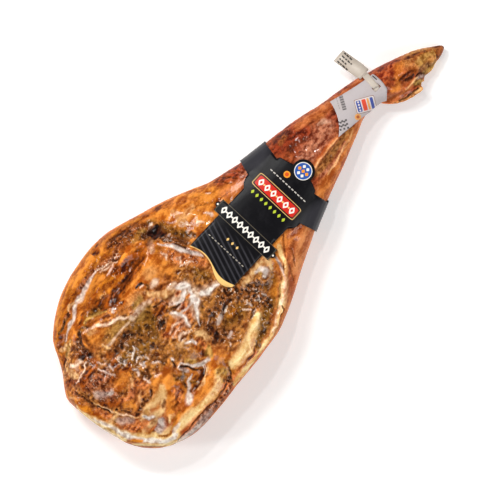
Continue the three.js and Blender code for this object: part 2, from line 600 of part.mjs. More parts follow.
const looks = {
  ham: { color: "#b9662c", roughness: 0.42 },
  sleeve_card: { color: "#1b1b1f", roughness: 0.4 },
  paper_cuff: { color: "#d6d0cd", roughness: 0.6 },
  strap_tag: { color: "#e2dbd2", roughness: 0.5 },
};
const solids = { ham: ham(), sleeve_card: sleeveCard(), paper_cuff: paperCuff(), strap_tag: strapTag() };

const part = new THREE.Group();
for (const [name, solid] of Object.entries(solids)) {
  const material = new THREE.MeshStandardMaterial({ ...looks[name], metalness: 0 });
  const mesh = new THREE.Mesh(geometryFrom(solid), material);
  mesh.name = name;
  part.add(mesh);
}

// The origin is the middle of the part's footprint, on the surface that it lies on.
const extent = new THREE.Box3().setFromObject(part, true);
const middle = extent.getCenter(new THREE.Vector3());
for (const mesh of part.children) mesh.geometry.translate(-middle.x, -middle.y, -extent.min.z);

export default part;
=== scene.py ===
import math

import bmesh
import bpy
import numpy as np
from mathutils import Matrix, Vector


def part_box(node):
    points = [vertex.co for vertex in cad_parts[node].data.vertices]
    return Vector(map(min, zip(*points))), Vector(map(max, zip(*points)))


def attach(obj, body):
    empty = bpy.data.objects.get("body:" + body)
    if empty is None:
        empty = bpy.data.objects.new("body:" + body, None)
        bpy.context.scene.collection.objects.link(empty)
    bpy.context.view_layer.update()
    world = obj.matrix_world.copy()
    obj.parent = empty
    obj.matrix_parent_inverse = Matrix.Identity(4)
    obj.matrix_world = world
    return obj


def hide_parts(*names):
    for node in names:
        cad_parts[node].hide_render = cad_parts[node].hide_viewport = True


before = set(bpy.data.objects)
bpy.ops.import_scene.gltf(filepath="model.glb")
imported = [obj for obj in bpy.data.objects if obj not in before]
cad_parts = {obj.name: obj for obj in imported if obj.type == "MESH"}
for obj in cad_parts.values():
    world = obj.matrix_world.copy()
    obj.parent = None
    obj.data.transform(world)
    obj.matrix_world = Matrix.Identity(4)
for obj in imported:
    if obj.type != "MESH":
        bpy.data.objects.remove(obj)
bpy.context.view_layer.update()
print("frame loaded:", sorted(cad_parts))

# A whole dry-cured shoulder ham lying on its rind, cut face up, in a card sleeve, with a paper
# cuff and a strap tag at the wrist. Places below are in the ham's own millimetres: x from the
# butt end (0) to the hoof tip (660), y across it to the left of that, z up from the table.
hamLow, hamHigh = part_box("ham")
acrossAtLow = -124.0    # the ham's lowest y in its own millimetres
mm = 0.001
weldWithin = 0.01 * mm  # points of the CAD mesh closer than this become one


def toHam(points):
    # metres in the frame to the ham's millimetres
    return (points - np.array([hamLow.x, hamLow.y, 0.0])) / mm + np.array([0.0, acrossAtLow, 0.0])


def fromHam(x, y, z=0.0):
    # the ham's millimetres to metres in the frame
    return (x * mm + hamLow.x, (y - acrossAtLow) * mm + hamLow.y, z * mm)


def linear(hexColour):
    # an sRGB hex colour as the linear numbers that the shader works in
    parts = [int(hexColour[i:i + 2], 16) / 255 for i in (1, 3, 5)]
    parts = [p / 12.92 if p <= 0.04045 else ((p + 0.055) / 1.055) ** 2.4 for p in parts]
    return (*parts, 1.0)


def fillSockets(node, inputs):
    # plain values are set on the sockets, and other nodes' sockets are linked to them
    for name, value in inputs.items():
        if isinstance(value, bpy.types.NodeSocket):
            node.id_data.links.new(value, node.inputs[name])
        else:
            node.inputs[name].default_value = value


def addNode(tree, kind, inputs=None, **settings):
    # one node with its settings and links
    node = tree.nodes.new("ShaderNode" + kind)
    for name, value in settings.items():
        setattr(node, name, value)
    fillSockets(node, inputs or {})
    return node


def startMaterial(name):
    material = bpy.data.materials.new(name)
    material.use_nodes = True
    return material, material.node_tree.nodes["Principled BSDF"]


# Camera and light
view = {
    "centre": (298.6, -20.1, 45.0),   # what the middle of the picture shows
    "width": 638.3,                   # mm across the picture at that height
    "lens": 400.0,                    # long, so the low foot keeps its length
    "sensor": 36.0,
    "turn": math.radians(-48.63),     # the hoof points to the upper right
    "farthest": 20,                   # m
}

cameraData = bpy.data.cameras.new("camera")
cameraData.lens = view["lens"]
cameraData.sensor_width = view["sensor"]
cameraData.clip_end = view["farthest"]
camera = bpy.data.objects.new("camera", cameraData)
bpy.context.scene.collection.objects.link(camera)
eye = fromHam(*view["centre"])
reach = view["width"] * mm * view["lens"] / view["sensor"]
camera.location = (eye[0], eye[1], eye[2] + reach)
camera.rotation_euler = (0, 0, view["turn"])
bpy.context.scene.camera = camera
print("camera placed")

studio = {
    # name, watts, size in m, place in m (right, up, height in the picture's own directions), tint
    "lamps": [
        ("keySoftbox", 33, (0.6, 0.6), (-0.9, 1.1, 1.9), "#fffefb"),
        ("fillSoftbox", 23, (0.9, 0.9), (1.2, -0.8, 1.8), "#ffffff"),
        ("leftStrip", 7, (0.2, 1.2), (-1.3, -0.3, 0.9), "#ffffff"),
        ("glintLamp", 8, (0.1, 0.1), (-0.3, 0.95, 2.2), "#ffffff"),
    ],
    "aimHeight": 0.05,        # m, what the lamps point at
    "surround": 0.16,         # strength of the white light from all round
    "floorHalf": 4,           # m
    "floorDrop": 0.0005,      # m under the ham
    "floorColour": "#f4f4f3",
    "floorGlow": 0.25,        # it is lit a little from behind, as on a light table
}
turn = view["turn"]
for name, watts, size, (right, up, height), tint in studio["lamps"]:
    lampData = bpy.data.lights.new(name, "AREA")
    lampData.energy = watts
    lampData.shape = "RECTANGLE"
    lampData.size, lampData.size_y = size
    lampData.color = linear(tint)[:3]
    lamp = bpy.data.objects.new(name, lampData)
    bpy.context.scene.collection.objects.link(lamp)
    lamp.location = (eye[0] + right * math.cos(turn) - up * math.sin(turn),
                     eye[1] + right * math.sin(turn) + up * math.cos(turn), height)
    aim = camera.location.copy()
    aim.z = studio["aimHeight"]
    lamp.rotation_euler = (aim - lamp.location).to_track_quat("-Z", "Y").to_euler()

world = bpy.data.worlds.new("studio")
bpy.context.scene.world = world
world.use_nodes = True
background = world.node_tree.nodes["Background"]
fillSockets(background, {"Color": linear("#ffffff"), "Strength": studio["surround"]})
bpy.context.scene.view_settings.view_transform = "Standard"
bpy.context.scene.view_settings.look = "None"
print("lights placed")

# Floor: pale seamless paper, matt
half = studio["floorHalf"]
floorMesh = bpy.data.meshes.new("floor")
corners = [(-half, -half, 0), (half, -half, 0), (half, half, 0), (-half, half, 0)]
floorMesh.from_pydata(corners, [], [(0, 1, 2, 3)])
floor = bpy.data.objects.new("floor", floorMesh)
bpy.context.scene.collection.objects.link(floor)
floor.location.z = -studio["floorDrop"]
backdropPaper, shader = startMaterial("backdropPaper")
fillSockets(shader, {"Base Color": linear(studio["floorColour"]), "Roughness": 0.9,
                     "Emission Color": linear("#ffffff"), "Emission Strength": studio["floorGlow"]})
floorMesh.materials.append(backdropPaper)


# Noise and strokes, worked out for all points at once
def gradientNoise(points, size, seed):
    # smooth seeded noise, about -1 to 1, with lumps of the given size in the points' own unit
    draw = np.random.default_rng(seed)
    order = np.tile(draw.permutation(256), 2)
    slopes = draw.normal(size=(256, 3))
    slopes /= np.linalg.norm(slopes, axis=1, keepdims=True)
    place = points / size
    cell = np.floor(place).astype(int)
    inside = place - cell
    ease = inside ** 3 * (inside * (inside * 6 - 15) + 10)
    total = np.zeros(len(points))
    for corner in range(8):
        step = np.array([corner & 1, corner >> 1 & 1, corner >> 2 & 1])
        at = (cell + step) & 255
        slope = slopes[order[order[order[at[:, 0]] + at[:, 1]] + at[:, 2]]]
        share = np.where(step, ease, 1 - ease).prod(axis=1)
        total += share * ((inside - step) * slope).sum(axis=1)
    return total * 1.6


def layeredNoise(points, size, seed, layers=3):
    return sum(gradientNoise(points, size / 2 ** k, seed + k) / 2 ** k for k in range(layers))


def ridgedNoise(points, size, seed):
    # sharp crests between lumps, 0 to 1
    return 1 - np.abs(gradientNoise(points, size, seed)).clip(0, 1)


def smoothStep(low, high, value):
    t = ((value - low) / (high - low)).clip(0, 1)
    return t * t * (3 - 2 * t)


def strokeCover(plan, path):
    # how far each point lies inside a stroke, 0 to 1; path holds x, y, half width for each point,
    # and a wide stroke fades out more slowly than a fine one
    rows = np.array(path).reshape(-1, 3)
    if len(rows) == 1:
        rows = np.repeat(rows, 2, axis=0)
    reachOut = rows[:, 2].max() * 1.8 + 1
    near = ((plan > rows[:, :2].min(axis=0) - reachOut).all(axis=1)
            & (plan < rows[:, :2].max(axis=0) + reachOut).all(axis=1))
    cover = np.zeros(len(plan))
    here = plan[near]
    best = np.zeros(len(here))
    for a, b in zip(rows[:-1], rows[1:]):
        run = b[:2] - a[:2]
        t = (((here - a[:2]) @ run) / max(run @ run, 1e-9)).clip(0, 1)
        off = np.linalg.norm(here - a[:2] - t[:, None] * run, axis=1)
        half = a[2] + (b[2] - a[2]) * t
        soft = 0.4 + half * (0.25 + 0.05 * half).clip(0, 0.75)
        best = np.maximum(best, smoothStep(-soft, soft, half - off))
    cover[near] = best
    return cover


def neighbourMean(values, edges, count):
    # the mean of each point's neighbours
    degree = np.bincount(edges.ravel(), minlength=count)[:, None]
    total = np.stack([np.bincount(edges[:, 0], values[edges[:, 1], k], count)
                      + np.bincount(edges[:, 1], values[edges[:, 0], k], count)
                      for k in range(values.shape[1])], axis=1)
    return total / degree


# The ham: pork shoulder salted and air-dried for months. Fat turns amber and cream, the lean dries
# to a brown crust, and the rind shines with its own oil.
ham = {
    "voxel": 2.9,             # mm, the first even skin over the CAD solid
    "smoothing": 9,           # rounds that melt the solid's facets without shrinking its thin ends:
    "pull": (0.55, -0.57),    # each round draws the points together by the first share, then apart again
    "topSlope": 0.25,         # faces that look up more than this are drawn twice as fine
    "warp": ((26, 2.5), (9, 1.8), (4, 0.8)),   # mm: lump size and reach of the wander of all marks
    "patches": (70, 0.45),    # mm and strength of the large amber and red patches of the rind
    "olivePatches": (38, 0.3),
    "underShade": 0.4,        # how far the underside takes the darker rind of the shank, as painted shade
    "shankFrom": (330, 400),  # mm along: the rind turns red-brown
    "shankSlant": 0.3,        # mm nearer the butt end for each mm across
    "footFrom": (600, 628),
    "hornFrom": (638, 650),
    "faceEnds": (322, 336),   # mm along: the cut face ends under the card
    "faceSlant": 0.35,        # mm nearer the hoof for each mm across
    "lumpsAndCrags": (0.8, 1.1),    # the share of each in a tissue's relief
    "cragSize": 1.9,          # crags to lumps
    "cragLevel": 0.55,        # the middle of the crags, which neither lifts nor sinks
    "hollowRounds": (2, 12),  # rounds of smoothing that fine and broad hollows are measured against
    "crestAndPit": (-1.4, 1.2),     # mm below the surroundings, between which the colour goes from painted light to painted shade
    "crestAndPitLight": (1.45, 0.3),
    "toneShare": 0.42,        # how far the relief spreads each tissue's colour, partly as painted light and shade
    "mottle": 3.2,            # mm between spots of dark and light
    "paintedGlintSpacing": 3.4,              # mm between the painted glints, pale specks in place of highlights
    "paintedGlintColour": "#e8cdb4",
    "grain": 3.4,             # mm between the finest bumps, drawn coarse so that they show
    "grainHeight": 0.9,       # mm
}

# tissue: darker hex, lighter hex, roughness, lumps in mm, their stretch along x and y,
# height of the lumps in mm, and how much painted glint it carries; the pale tissues and film also
# lay painted glints and highlights in some marks
tissues = {
    "rind":      ("#ae5020", "#e7894e", 0.84, 7.0, (2.6, 1.5), 0.30, 0.08),
    "shankRind": ("#4f1003", "#a84120", 0.80, 4.5, (2.0, 1.0), 0.35, 0.12),
    "pinkRind":  ("#7d2c16", "#d08562", 0.80, 3.6, (2.0, 1.0), 0.45, 0.25),
    "redRind":   ("#7c1e0a", "#cc6434", 0.80, 4.2, (1.6, 1.0), 0.40, 0.10),
    "oliveRind": ("#84481a", "#d0924e", 0.88, 3.6, (1.4, 1.0), 0.50, 0.10),
    "horn":      ("#552610", "#a0592c", 0.84, 5.0, (3.0, 1.0), 0.20, 0.04),
    "amberFat":  ("#8e3c02", "#da8522", 0.76, 9.0, (2.5, 1.0), 0.25, 0.05),
    "orangeFat": ("#ac5009", "#ec9238", 0.78, 7.0, (1.8, 1.0), 0.35, 0.05),
    "paleAmber": ("#c8844a", "#f5cb8e", 0.82, 5.0, (1.3, 1.0), 0.30, 0.10),
    "creamFat":  ("#e0a65a", "#fddfa2", 0.84, 7.0, (2.0, 1.0), 0.30, 0.06),
    "paleFat":   ("#c68c66", "#f8dec4", 0.84, 4.0, (1.4, 1.0), 0.35, 0.25),
    "oliveFat":  ("#85581e", "#d0a052", 0.84, 4.5, (1.5, 1.0), 0.35, 0.12),
    "toffee":    ("#451100", "#aa4f08", 0.78, 4.0, (3.0, 1.0), 0.55, 0.07),
    "goldLean":  ("#6a300a", "#c6803a", 0.80, 4.0, (1.6, 1.0), 0.75, 0.30),
    "redLean":   ("#7c2a09", "#dc8042", 0.80, 3.8, (1.8, 1.0), 0.70, 0.30),
    "wrinkled":  ("#4c1604", "#ae633c", 0.82, 3.4, (1.0, 1.7), 0.75, 0.45),
    "crust":     ("#2b1003", "#8e5023", 0.84, 3.6, (1.0, 1.0), 0.90, 0.55),
    "olive":     ("#4c2806", "#98621f", 0.84, 4.2, (1.2, 1.0), 0.55, 0.28),
    "char":      ("#1a0500", "#4a1603", 0.78, 4.0, (1.5, 1.0), 0.60, 0.05),
    "fascia":    ("#c0aa9c", "#f4eae0", 0.82, 5.0, (1.0, 1.0), 0.25, 0.08),
    "film":      ("#826a60", "#cdb7ad", 0.84, 5.0, (1.0, 1.6), 0.35, 0.35),
}

# One mark after another: tissue, strength, height in mm, then x, y and half width for each point
# of its stroke. "glint" is no tissue, but a place for painted glints: pale specks in place of highlights.
faceMarks = [
    # grounds of the cut face, from the left edge of the photo's ham to its right edge
    """
orangeFat 1 0 40 70 26 110 90 40 200 90 36 290 60 60 335 45 30
goldLean 1 0 40 0 46 110 0 60 200 -20 60 262 -45 50
orangeFat 1 0 95 -62 20 120 -85 22 165 -88 18
amberFat 1 0 44 82 10 70 102 14 110 113 15 150 122 14 180 122 14
orangeFat .9 .3 118 119 6 140 124 6 158 125 5
orangeFat 1 .5 177 121 6 186 122 6
toffee .95 -.5 163 127 2.5 168 124 3.5 174 130 2.5
toffee .9 0 188 117 9 205 112 12 222 107 12 232 101 7
amberFat .7 0 200 125 2.5 222 119 2.5 236 113 2
crust .6 0 190 115 8 206 110 10 224 104 9
char .5 -.4 192 121 3 205 117 3 214 112 3
glint .8 0 184 113 4 192 113 4 205 107 3
oliveFat .8 0 212 98 5 224 98 5
""",
    # slope inside the roll: brown and orange bands that run along the ham; its fine pale streaks are painted
    # glints
    """
toffee 1 0 84 80 9 105 84 11 140 86 14 175 88 12 200 84 8
orangeFat .9 .3 100 94 3 118 99 4 140 101 5 150 98 3
amberFat .8 .3 120 90 2.5 145 92 3 160 89 2.5
amberFat .85 .4 128 84 2 142 80 2.5 158 80 3 168 81 2
olive .8 0 98 80 2.5 110 77 4 122 70 4
oliveFat .9 .4 92 76 1.5 106 74 1.8 120 66 1.6
toffee .9 -.5 88 71 1.5 104 67 1.8 118 60 1.6
toffee .8 -.4 100 84 2 110 86 2.5 116 79 2
orangeFat .9 .4 56 74 3 68 79 3.5 84 85 4 96 90 3
orangeFat .75 .8 176 93 2 186 95 3 196 96 4 208 92 4.6 214 86 4
amberFat .9 0 188 72 5 205 76 6 216 70 6
wrinkled .85 .3 150 109 4 165 106 6 180 102 4
glint 1 0 148 110 3 160 106 5 172 102 5 182 101 3
paleFat .85 .5 151 110 .8 160 105 .9 170 101 .9 178 98 .7
paleFat .8 .5 152 104 .7 161 101 .7 170 98 .7
fascia .5 .4 155 96 .8 163 97 1 169 96 .7
glint .9 0 163 90 4 172 89 4
char .6 -.6 172 104 1 182 97 1.2 192 98 .8
wrinkled .6 0 183 107 3 196 107 3
""",
    # amber mound
    """
orangeFat 1 .3 148 57 9 165 62 10 185 60 14 203 58 14
paleAmber .3 .3 188 56 6 200 56 6
orangeFat .9 0 208 66 8 212 50 8 212 36 7
paleAmber .25 .2 145 52 5 160 49 6
paleFat .8 .3 182 42 3 190 43 4
oliveFat .8 0 148 42 4 160 42 4
goldLean .7 -.2 170 42 3 178 46 3
toffee .8 -.5 183 35 2 192 34 2.5
paleAmber .8 .2 172 38 3 180 30 4 186 24 5
toffee .6 -.3 203 38 3 210 30 3
""",
    # streaks and creases of the left side
    """
toffee .7 0 56 88 3 66 92 3 80 98 3
toffee .7 0 44 80 4 62 91 5 84 101 5 110 108 4 140 112 3
fascia .75 .6 58 80 .8 66 84 1.4 76 88 2.4 88 92 2.2 98 99 2.4 110 101 3 124 105 2.4 136 107 2
    148 109 1
paleFat .7 .3 98 98 1 108 100 1.2
olive .95 -.8 58 92 1.2 66 94 1.8 76 97 1.8 85 101 1.2
char .5 -.4 62 94 .8 74 96 1
wrinkled .7 0 80 99 2.5 90 99 2.5
wrinkled .7 0 118 111 3 136 111 3.5 146 112 2.5
paleAmber .8 .4 88 103 1.4 94 105 2 101 102 1.4
glint .8 0 140 117 2.5 152 118 2.5 165 118 3
paleAmber .9 .4 44 76 2.5 52 75 3.2 55 77 2
wrinkled .85 0 45 82 2.4 52 86 2
toffee .9 -1 27 58 1.4 33 62 2.6 38 66 3.2 45 69 2
char .8 -.8 30 59 .8 37 65 1.5
oliveFat .8 0 42 66 2.5 52 71 2.5 62 75 2
toffee .4 0 28 62 3 44 78 4 62 88 4
paleAmber .9 .5 16 47 .9 25 54 1.1 35 59 1.1 46 64 1 58 72 .8
""",
    # deep groove, dark red-brown, with a small fascia stroke among its glints as a painted glint
    """
char .75 -1.4 138 72 1.2 146 75 2 156 74 2.4 166 75 2.2 175 78 2.6 186 80 3.4
toffee .9 -.8 120 72 4 140 71 6 160 73 5 180 78 5 192 82 5
orangeFat .5 .2 100 87 4 120 87 4 142 84 4
toffee .9 -.4 128 64 3 146 67 4 166 69 4 186 72 5 204 76 4
char .5 -.6 140 69 1.8 158 70 2.2 176 73 2.4 196 78 2.2
char .6 -.8 129 68 2 136 68 3 142 66 3
toffee .9 0 130 62 3 140 59 4 145 56 3
glint 1 0 124 60 3 132 62 4 140 58 4
fascia .8 .4 124 58 .9 127 61 1.4 129 59 .8
toffee .8 -.3 190 78 3 202 82 3 210 80 2
paleAmber .8 .4 127 82 .8 132 81 1.1 136 80 .8
orangeFat 1 0 76 60 7 84 54 8 98 55 8 104 48 6
paleAmber .5 0 84 64 3 90 60 4
oliveFat .65 0 95 41 6 112 42 8 128 37 7
goldLean .7 0 88 43 3 98 44 4
paleFat .85 .6 80 70 .7 88 68 1.2 96 64 1.8 105 57 2 114 52 2.2 124 47 2.2 131 40 1.4
paleFat .7 .2 132 36 3 142 35 3.5 155 33 3.5 166 33 2.5
toffee .6 -.3 72 44 3 75 54 3 76 66 3
char .35 0 73 48 2 75 60 2 77 70 2
char .9 -1.5 68 57 1.6 70 64 2 74 70 2.6 78 73 1.8
olive .8 -.3 80 74 2.5 88 73 2.5
char 1 -1.8 168 55 1.4 173 55 1.8 176 53 1.6
char .6 -.5 177 50 1 178 46 1
fascia .8 .3 170 52 .6 175 51 .6
""",
    # shoulder's hollow, whose fine fascia squiggles are painted glints
    """
olive 1 -.5 84 8 6 96 4 10 112 4 15 132 6 16 148 14 11
crust .95 -.8 88 22 4 98 24 6 112 24 7 124 20 6
char .4 -.3 88 24 3 104 25 4.5 120 24 3
olive .9 0 128 24 6 142 22 7 154 20 5
oliveFat .6 0 138 30 4 150 27 5 162 29 4
crust .6 -.4 110 10 4 124 8 5 136 4 4
toffee .8 0 78 28 5 84 22 5 76 14 4
goldLean .8 0 72 34 4 84 34 3
paleAmber .9 .4 83 42 .8 85 36 1.2 88 32 1.2
paleFat .6 .2 88 36 1.6 100 35 1.8 114 35 1.8 126 34 1.6
glint 1 0 84 14 6 90 4 7 100 6 8 106 -4 8
fascia .61 .5 83 12 .8 87 15 1 89 12 .6
fascia .61 .5 84 2 1.4 87 6 .8
fascia .58 .5 104 14 .8 104 18 .7
fascia .61 .5 96 0 .8 102 4 1.1 108 8 1 110 2 .8
fascia .58 .5 97 -8 .8 103 -4 1.1 106 -8 .9
fascia .65 .5 99 -12 .8 100 -18 1.3 103 -14 .7
fascia .54 .5 110 -10 1 112 -15 .8
fascia .61 .5 107 -23 1.4 110 -26 1.2 116 -30 .8
fascia .61 .5 99 -36 1.2 102 -40 1.4 106 -41 .8
""",
    # butt end: dark crust beside a pale lobe, a wrinkled mound, strips of fat round it;
    # the white spots on the lobe and the fine streaks on the mound are painted glints
    """
toffee 1 0 18 40 5 26 38 6 30 30 6 44 30 6
goldLean .9 0 22 50 3 30 56 4 45 60 4 60 66 4
crust 1 -.6 54 50 5 60 52 6 64 44 6 60 37 5 54 40 5
toffee .7 0 56 56 5 62 46 6 62 36 5
char .75 -.9 55 50 3.4 62 49 4 66 42 4 66 54 3
crust .9 -.4 56 58 4 66 62 4 70 66 3
glint .6 0 54 50 6 60 40 7 62 60 5
paleAmber 1 .4 31 52 3 31 45 3.8 33 39 3
paleFat .9 .4 38 53 2.5 42 50 3 47 51 3 50 48 2.4
paleFat .6 .4 39 55 1.4 41 49 1.6 38 44 1.2
goldLean .7 -.3 46 45 2 44 40 2
paleFat .9 .5 25 33 .8 30 32 1.1 35 35 1 41 35 1.2 45 38 1 49 42 .9 53 42 .8
wrinkled 1 .4 36 16 9 48 14 10 58 12 9
wrinkled 1 .3 38 -4 9 50 -6 8 40 -16 6
toffee .9 0 26 22 4 36 26 3 50 28 4 58 30 4
toffee .8 0 60 2 5 66 -4 5 74 4 5 78 12 4
film .6 .3 32 4 4 38 -2 5 42 -6 4
glint .7 0 56 24 6 60 14 6 64 4 5
glint .6 0 30 6 6 40 -6 8 50 -4 6
fascia .56 .5 57 24 .7 60 18 .8 63 12 .9 66 4 .8
fascia .56 .5 62 31 .7 65 26 .8 69 22 .7
fascia .6 .5 70 18 .9 72 13 1.2 70 9 .8
fascia .5 .4 44 -8 2 50 -6 2
toffee .9 0 28 -8 4 34 -16 5 42 -22 5
crust .8 -.5 46 -18 4 54 -17 3
amberFat 1 .3 9 34 3 7 22 3.6 7 8 4 10 -8 4.5 13 -22 4
paleAmber .7 .3 6 27 1.8 9 23 1.8
toffee .55 0 15 28 2.5 16 14 3 18 0 3
crust .6 -.8 16 24 1 17 12 1.2 18 2 .8
glint .8 0 12 12 3 16 26 3
redLean .9 0 17 -8 4 19 -20 5 22 -28 4
film .6 0 24 -38 3 30 -44 5 36 -50 4
redLean 1 0 25 -50 3 29 -58 4 34 -66 5 38 -60 4
amberFat 1 0 30 -70 4 36 -78 5 42 -88 5
toffee .9 0 42 -82 2.5 50 -80 2.5 56 -76 2
crust .8 -.4 46 -74 3 54 -73 3
paleAmber .85 .4 20 1 .5 24 -8 .6 28 -18 .8 31 -28 .9 35 -37 1.3 38 -44 1.1 42 -52 .9 48
    -58 1.2
paleFat .8 .3 26 -13 .5 28 -19 .6 30 -25 .5
paleFat .8 .3 33 -33 .8 37 -41 .9 41 -48 .6
paleAmber .7 .2 14 -33 2.4 22 -32 2.6 30 -33 2.2
oliveFat .5 0 18 -38 1.6 26 -35 1.6
paleAmber .8 .3 44 -58 2 52 -57 3 60 -62 3
fascia .95 .5 50 -58 1.6 54 -64 2.4 60 -68 2
char .9 -1.2 21 -4 .8 23 -12 1 27 -22 1
char 1 -1.6 34 -27 1.8
char .6 -.6 37 -33 1 41 -42 1
creamFat 1 .2 4 14 1.5 2 2 2.5 3 -12 3.5 6 -24 4 12 -38 4 16 -54 5 24 -68 4 32 -82 5 42 -96 6 60
    -104 6
fascia .9 .1 2 -8 2 6 -20 2.5 14 -44 3 16 -54 4 26 -74 2 30 -84 3 40 -98 3 54 -106 3 64 -100 3
oliveFat .8 0 5 -30 1.6 10 -40 1.8 12 -45 1.2
amberFat 1 .2 12 -61 1.6 17 -65 2.6 22 -72 2.8 26 -78 1.8
toffee .7 -.4 13 -70 .7 20 -80 .9 28 -92 1 38 -103 1 48 -108 1.2
paleAmber .65 .2 36 -72 3 46 -72 4 58 -72 4
creamFat .7 0 38 -84 3 48 -92 4 64 -94 4
film .9 0 48 -85 4 57 -83 5 61 -77 4
fascia .6 0 60 -77 3 58 -84 2
amberFat .95 -.4 44 -91 1.6 50 -97 1.8 56 -98 1.8 64 -94 2 76 -89 2.2 88 -87 1.6
""",
    # lumpy lean between mound and dome, with grey streaks as painted glints and a painted highlight on the
    # dome
    """
orangeFat .9 .2 58 -8 6 70 -10 6 80 -8 5
redLean .9 0 50 -24 6 62 -28 7 74 -24 7 80 -34 6
amberFat .55 .5 46 -32 4 54 -36 4 52 -45 3
goldLean .9 .4 54 -22 2.5 60 -20 2.5
wrinkled .8 .2 60 -30 4 66 -26 4
paleAmber .5 .4 70 -22 2.4 76 -18 2.4
paleAmber .4 .4 62 -44 1.6 68 -38 2 72 -34 1.6
toffee .4 -.3 56 -38 2 66 -32 3 78 -26 3
crust .8 -.5 46 -50 2.5 56 -51 3 66 -46 2.5 74 -48 3 80 -46 2
crust .7 -.4 80 -16 2 82 -8 2 78 -4 2
toffee .9 0 78 -2 3 84 -6 3 90 -2 3
film .85 .5 86 -10 1.8 89 -14 2 86 -20 1.6
film .85 .5 88 -28 1.2 89 -37 1.5
glint .9 0 87 -12 3 88 -34 3 96 -10 4
char .85 -.9 92 -22 3 94 -30 3.4 97 -22 2
goldLean .9 0 104 -30 3 106 -22 2
orangeFat .75 .2 92 -42 5 104 -46 6 114 -44 5 122 -36 3
creamFat .65 .2 58 -58 3.5 66 -55 4 76 -58 5 88 -58 5 94 -52 4
paleAmber .9 .2 64 -68 4 72 -72 4 84 -64 3
orangeFat 1 .2 72 -84 4 82 -78 5 92 -74 5 100 -68 4
paleAmber .95 .4 67 -85 1.6 72 -83 2 78 -85 2
toffee .7 -.4 76 -70 2 82 -68 2
redLean .95 0 100 -66 3 104 -74 4 96 -78 4
toffee .8 -.6 84 -81 2.5 92 -79 2 106 -64 1.4 108 -72 1.2
olive .95 0 114 -58 4 120 -64 6 126 -60 4
crust .8 -.5 116 -52 2 118 -66 3 114 -74 2
olive .5 .7 134 -38 6 144 -44 9 150 -54 7
paleAmber .6 .5 148 -34 4 156 -34 3
oliveFat .8 .5 140 -54 4 146 -60 4
toffee .9 -.3 160 -46 2 160 -56 3 162 -64 2.5
fascia .8 .4 157 -36 1.8 162 -40 2 163 -46 1.6
redLean .9 0 168 -46 3 168 -58 3
paleAmber .8 .2 174 -40 3 180 -46 4 178 -54 3
char .9 -1 125 -46 1.2 128 -40 1
fascia .9 .4 129 -39 1.4 130 -41 1
char .9 -1.2 128 -52 .8 132 -55 1.4 136 -60 1.6 137 -68 1.8 141 -71 1.2
fascia .85 .5 103 -90 5 110 -84 3.4 116 -78 2 124 -72 1.4 132 -70 1
film .8 .4 126 -52 1.4 130 -58 1.8 132 -64 1.4
fascia .9 .5 127 -49 1 133 -50 1.2 137 -56 1.2 140 -61 1
fascia .9 .4 140 -63 2 147 -66 2.8 154 -70 3 161 -73 2.4
oliveFat .9 0 164 -66 3 170 -62 3 166 -72 3
toffee 1 -1.2 116 -84 2.5 124 -82 4 134 -80 5 144 -76 3.4
char .8 -.8 134 -79 2.5 142 -78 2
olive .8 .4 124 -76 3 128 -80 3
fascia .85 .7 142 -79 .7 147 -75 .8 151 -71 .8
fascia .7 .7 146 -80 .6 151 -76 .7 153 -73 .6
paleAmber .8 .4 122 -87 1.2 134 -85 1.4 146 -81 1.2 154 -77 1
""",
    # band of fat along the right edge, and the dried strip below it
    """
orangeFat 1 .2 76 -92 4 92 -94 5 100 -98 4
creamFat 1 .2 66 -100 4 84 -101 6 104 -104 6 130 -104 6 148 -100 6
orangeFat .9 .2 104 -96 4 124 -98 5 142 -94 5 152 -88 4
paleAmber .8 .2 118 -105 3 140 -104 4 150 -95 4
fascia .7 0 62 -99 3 74 -97 2
char .75 -.8 54 -111 .6 62 -110 .8 74 -112 .9 86 -112 1.3 100 -114 1.6 122 -115 1.6 140 -112
    1.4 152 -111 1.2
wrinkled .9 0 56 -114 1.5 76 -117 3 100 -119 3.4 128 -119 3.4 152 -117 3
film .55 0 60 -115 3 84 -118 3 112 -119 2.6
glint .7 0 70 -117 3 150 -118 3
oliveFat .9 0 156 -92 5 160 -98 5
crust .9 -.9 154 -104 2.4 158 -110 4 157 -116 2.6
char .8 -.9 163 -106 1.4 168 -100 2
amberFat .95 0 166 -86 4 172 -92 4 168 -108 3
creamFat 1 .2 176 -100 6 195 -100 7 215 -96 8 232 -88 7 244 -82 4
paleAmber .8 .2 200 -104 3 222 -96 4
toffee .9 -.6 172 -110 1.2 184 -111 1.6 200 -110 1.6 216 -105 1.4
creamFat .9 0 158 -118 1.6 175 -115 2 200 -115 2
olive .95 0 210 -111 3 226 -103 5 242 -96 7 256 -88 7 268 -84 5
redLean .6 0 250 -98 3 262 -94 3
glint .7 0 226 -104 4 250 -90 6 268 -80 6
""",
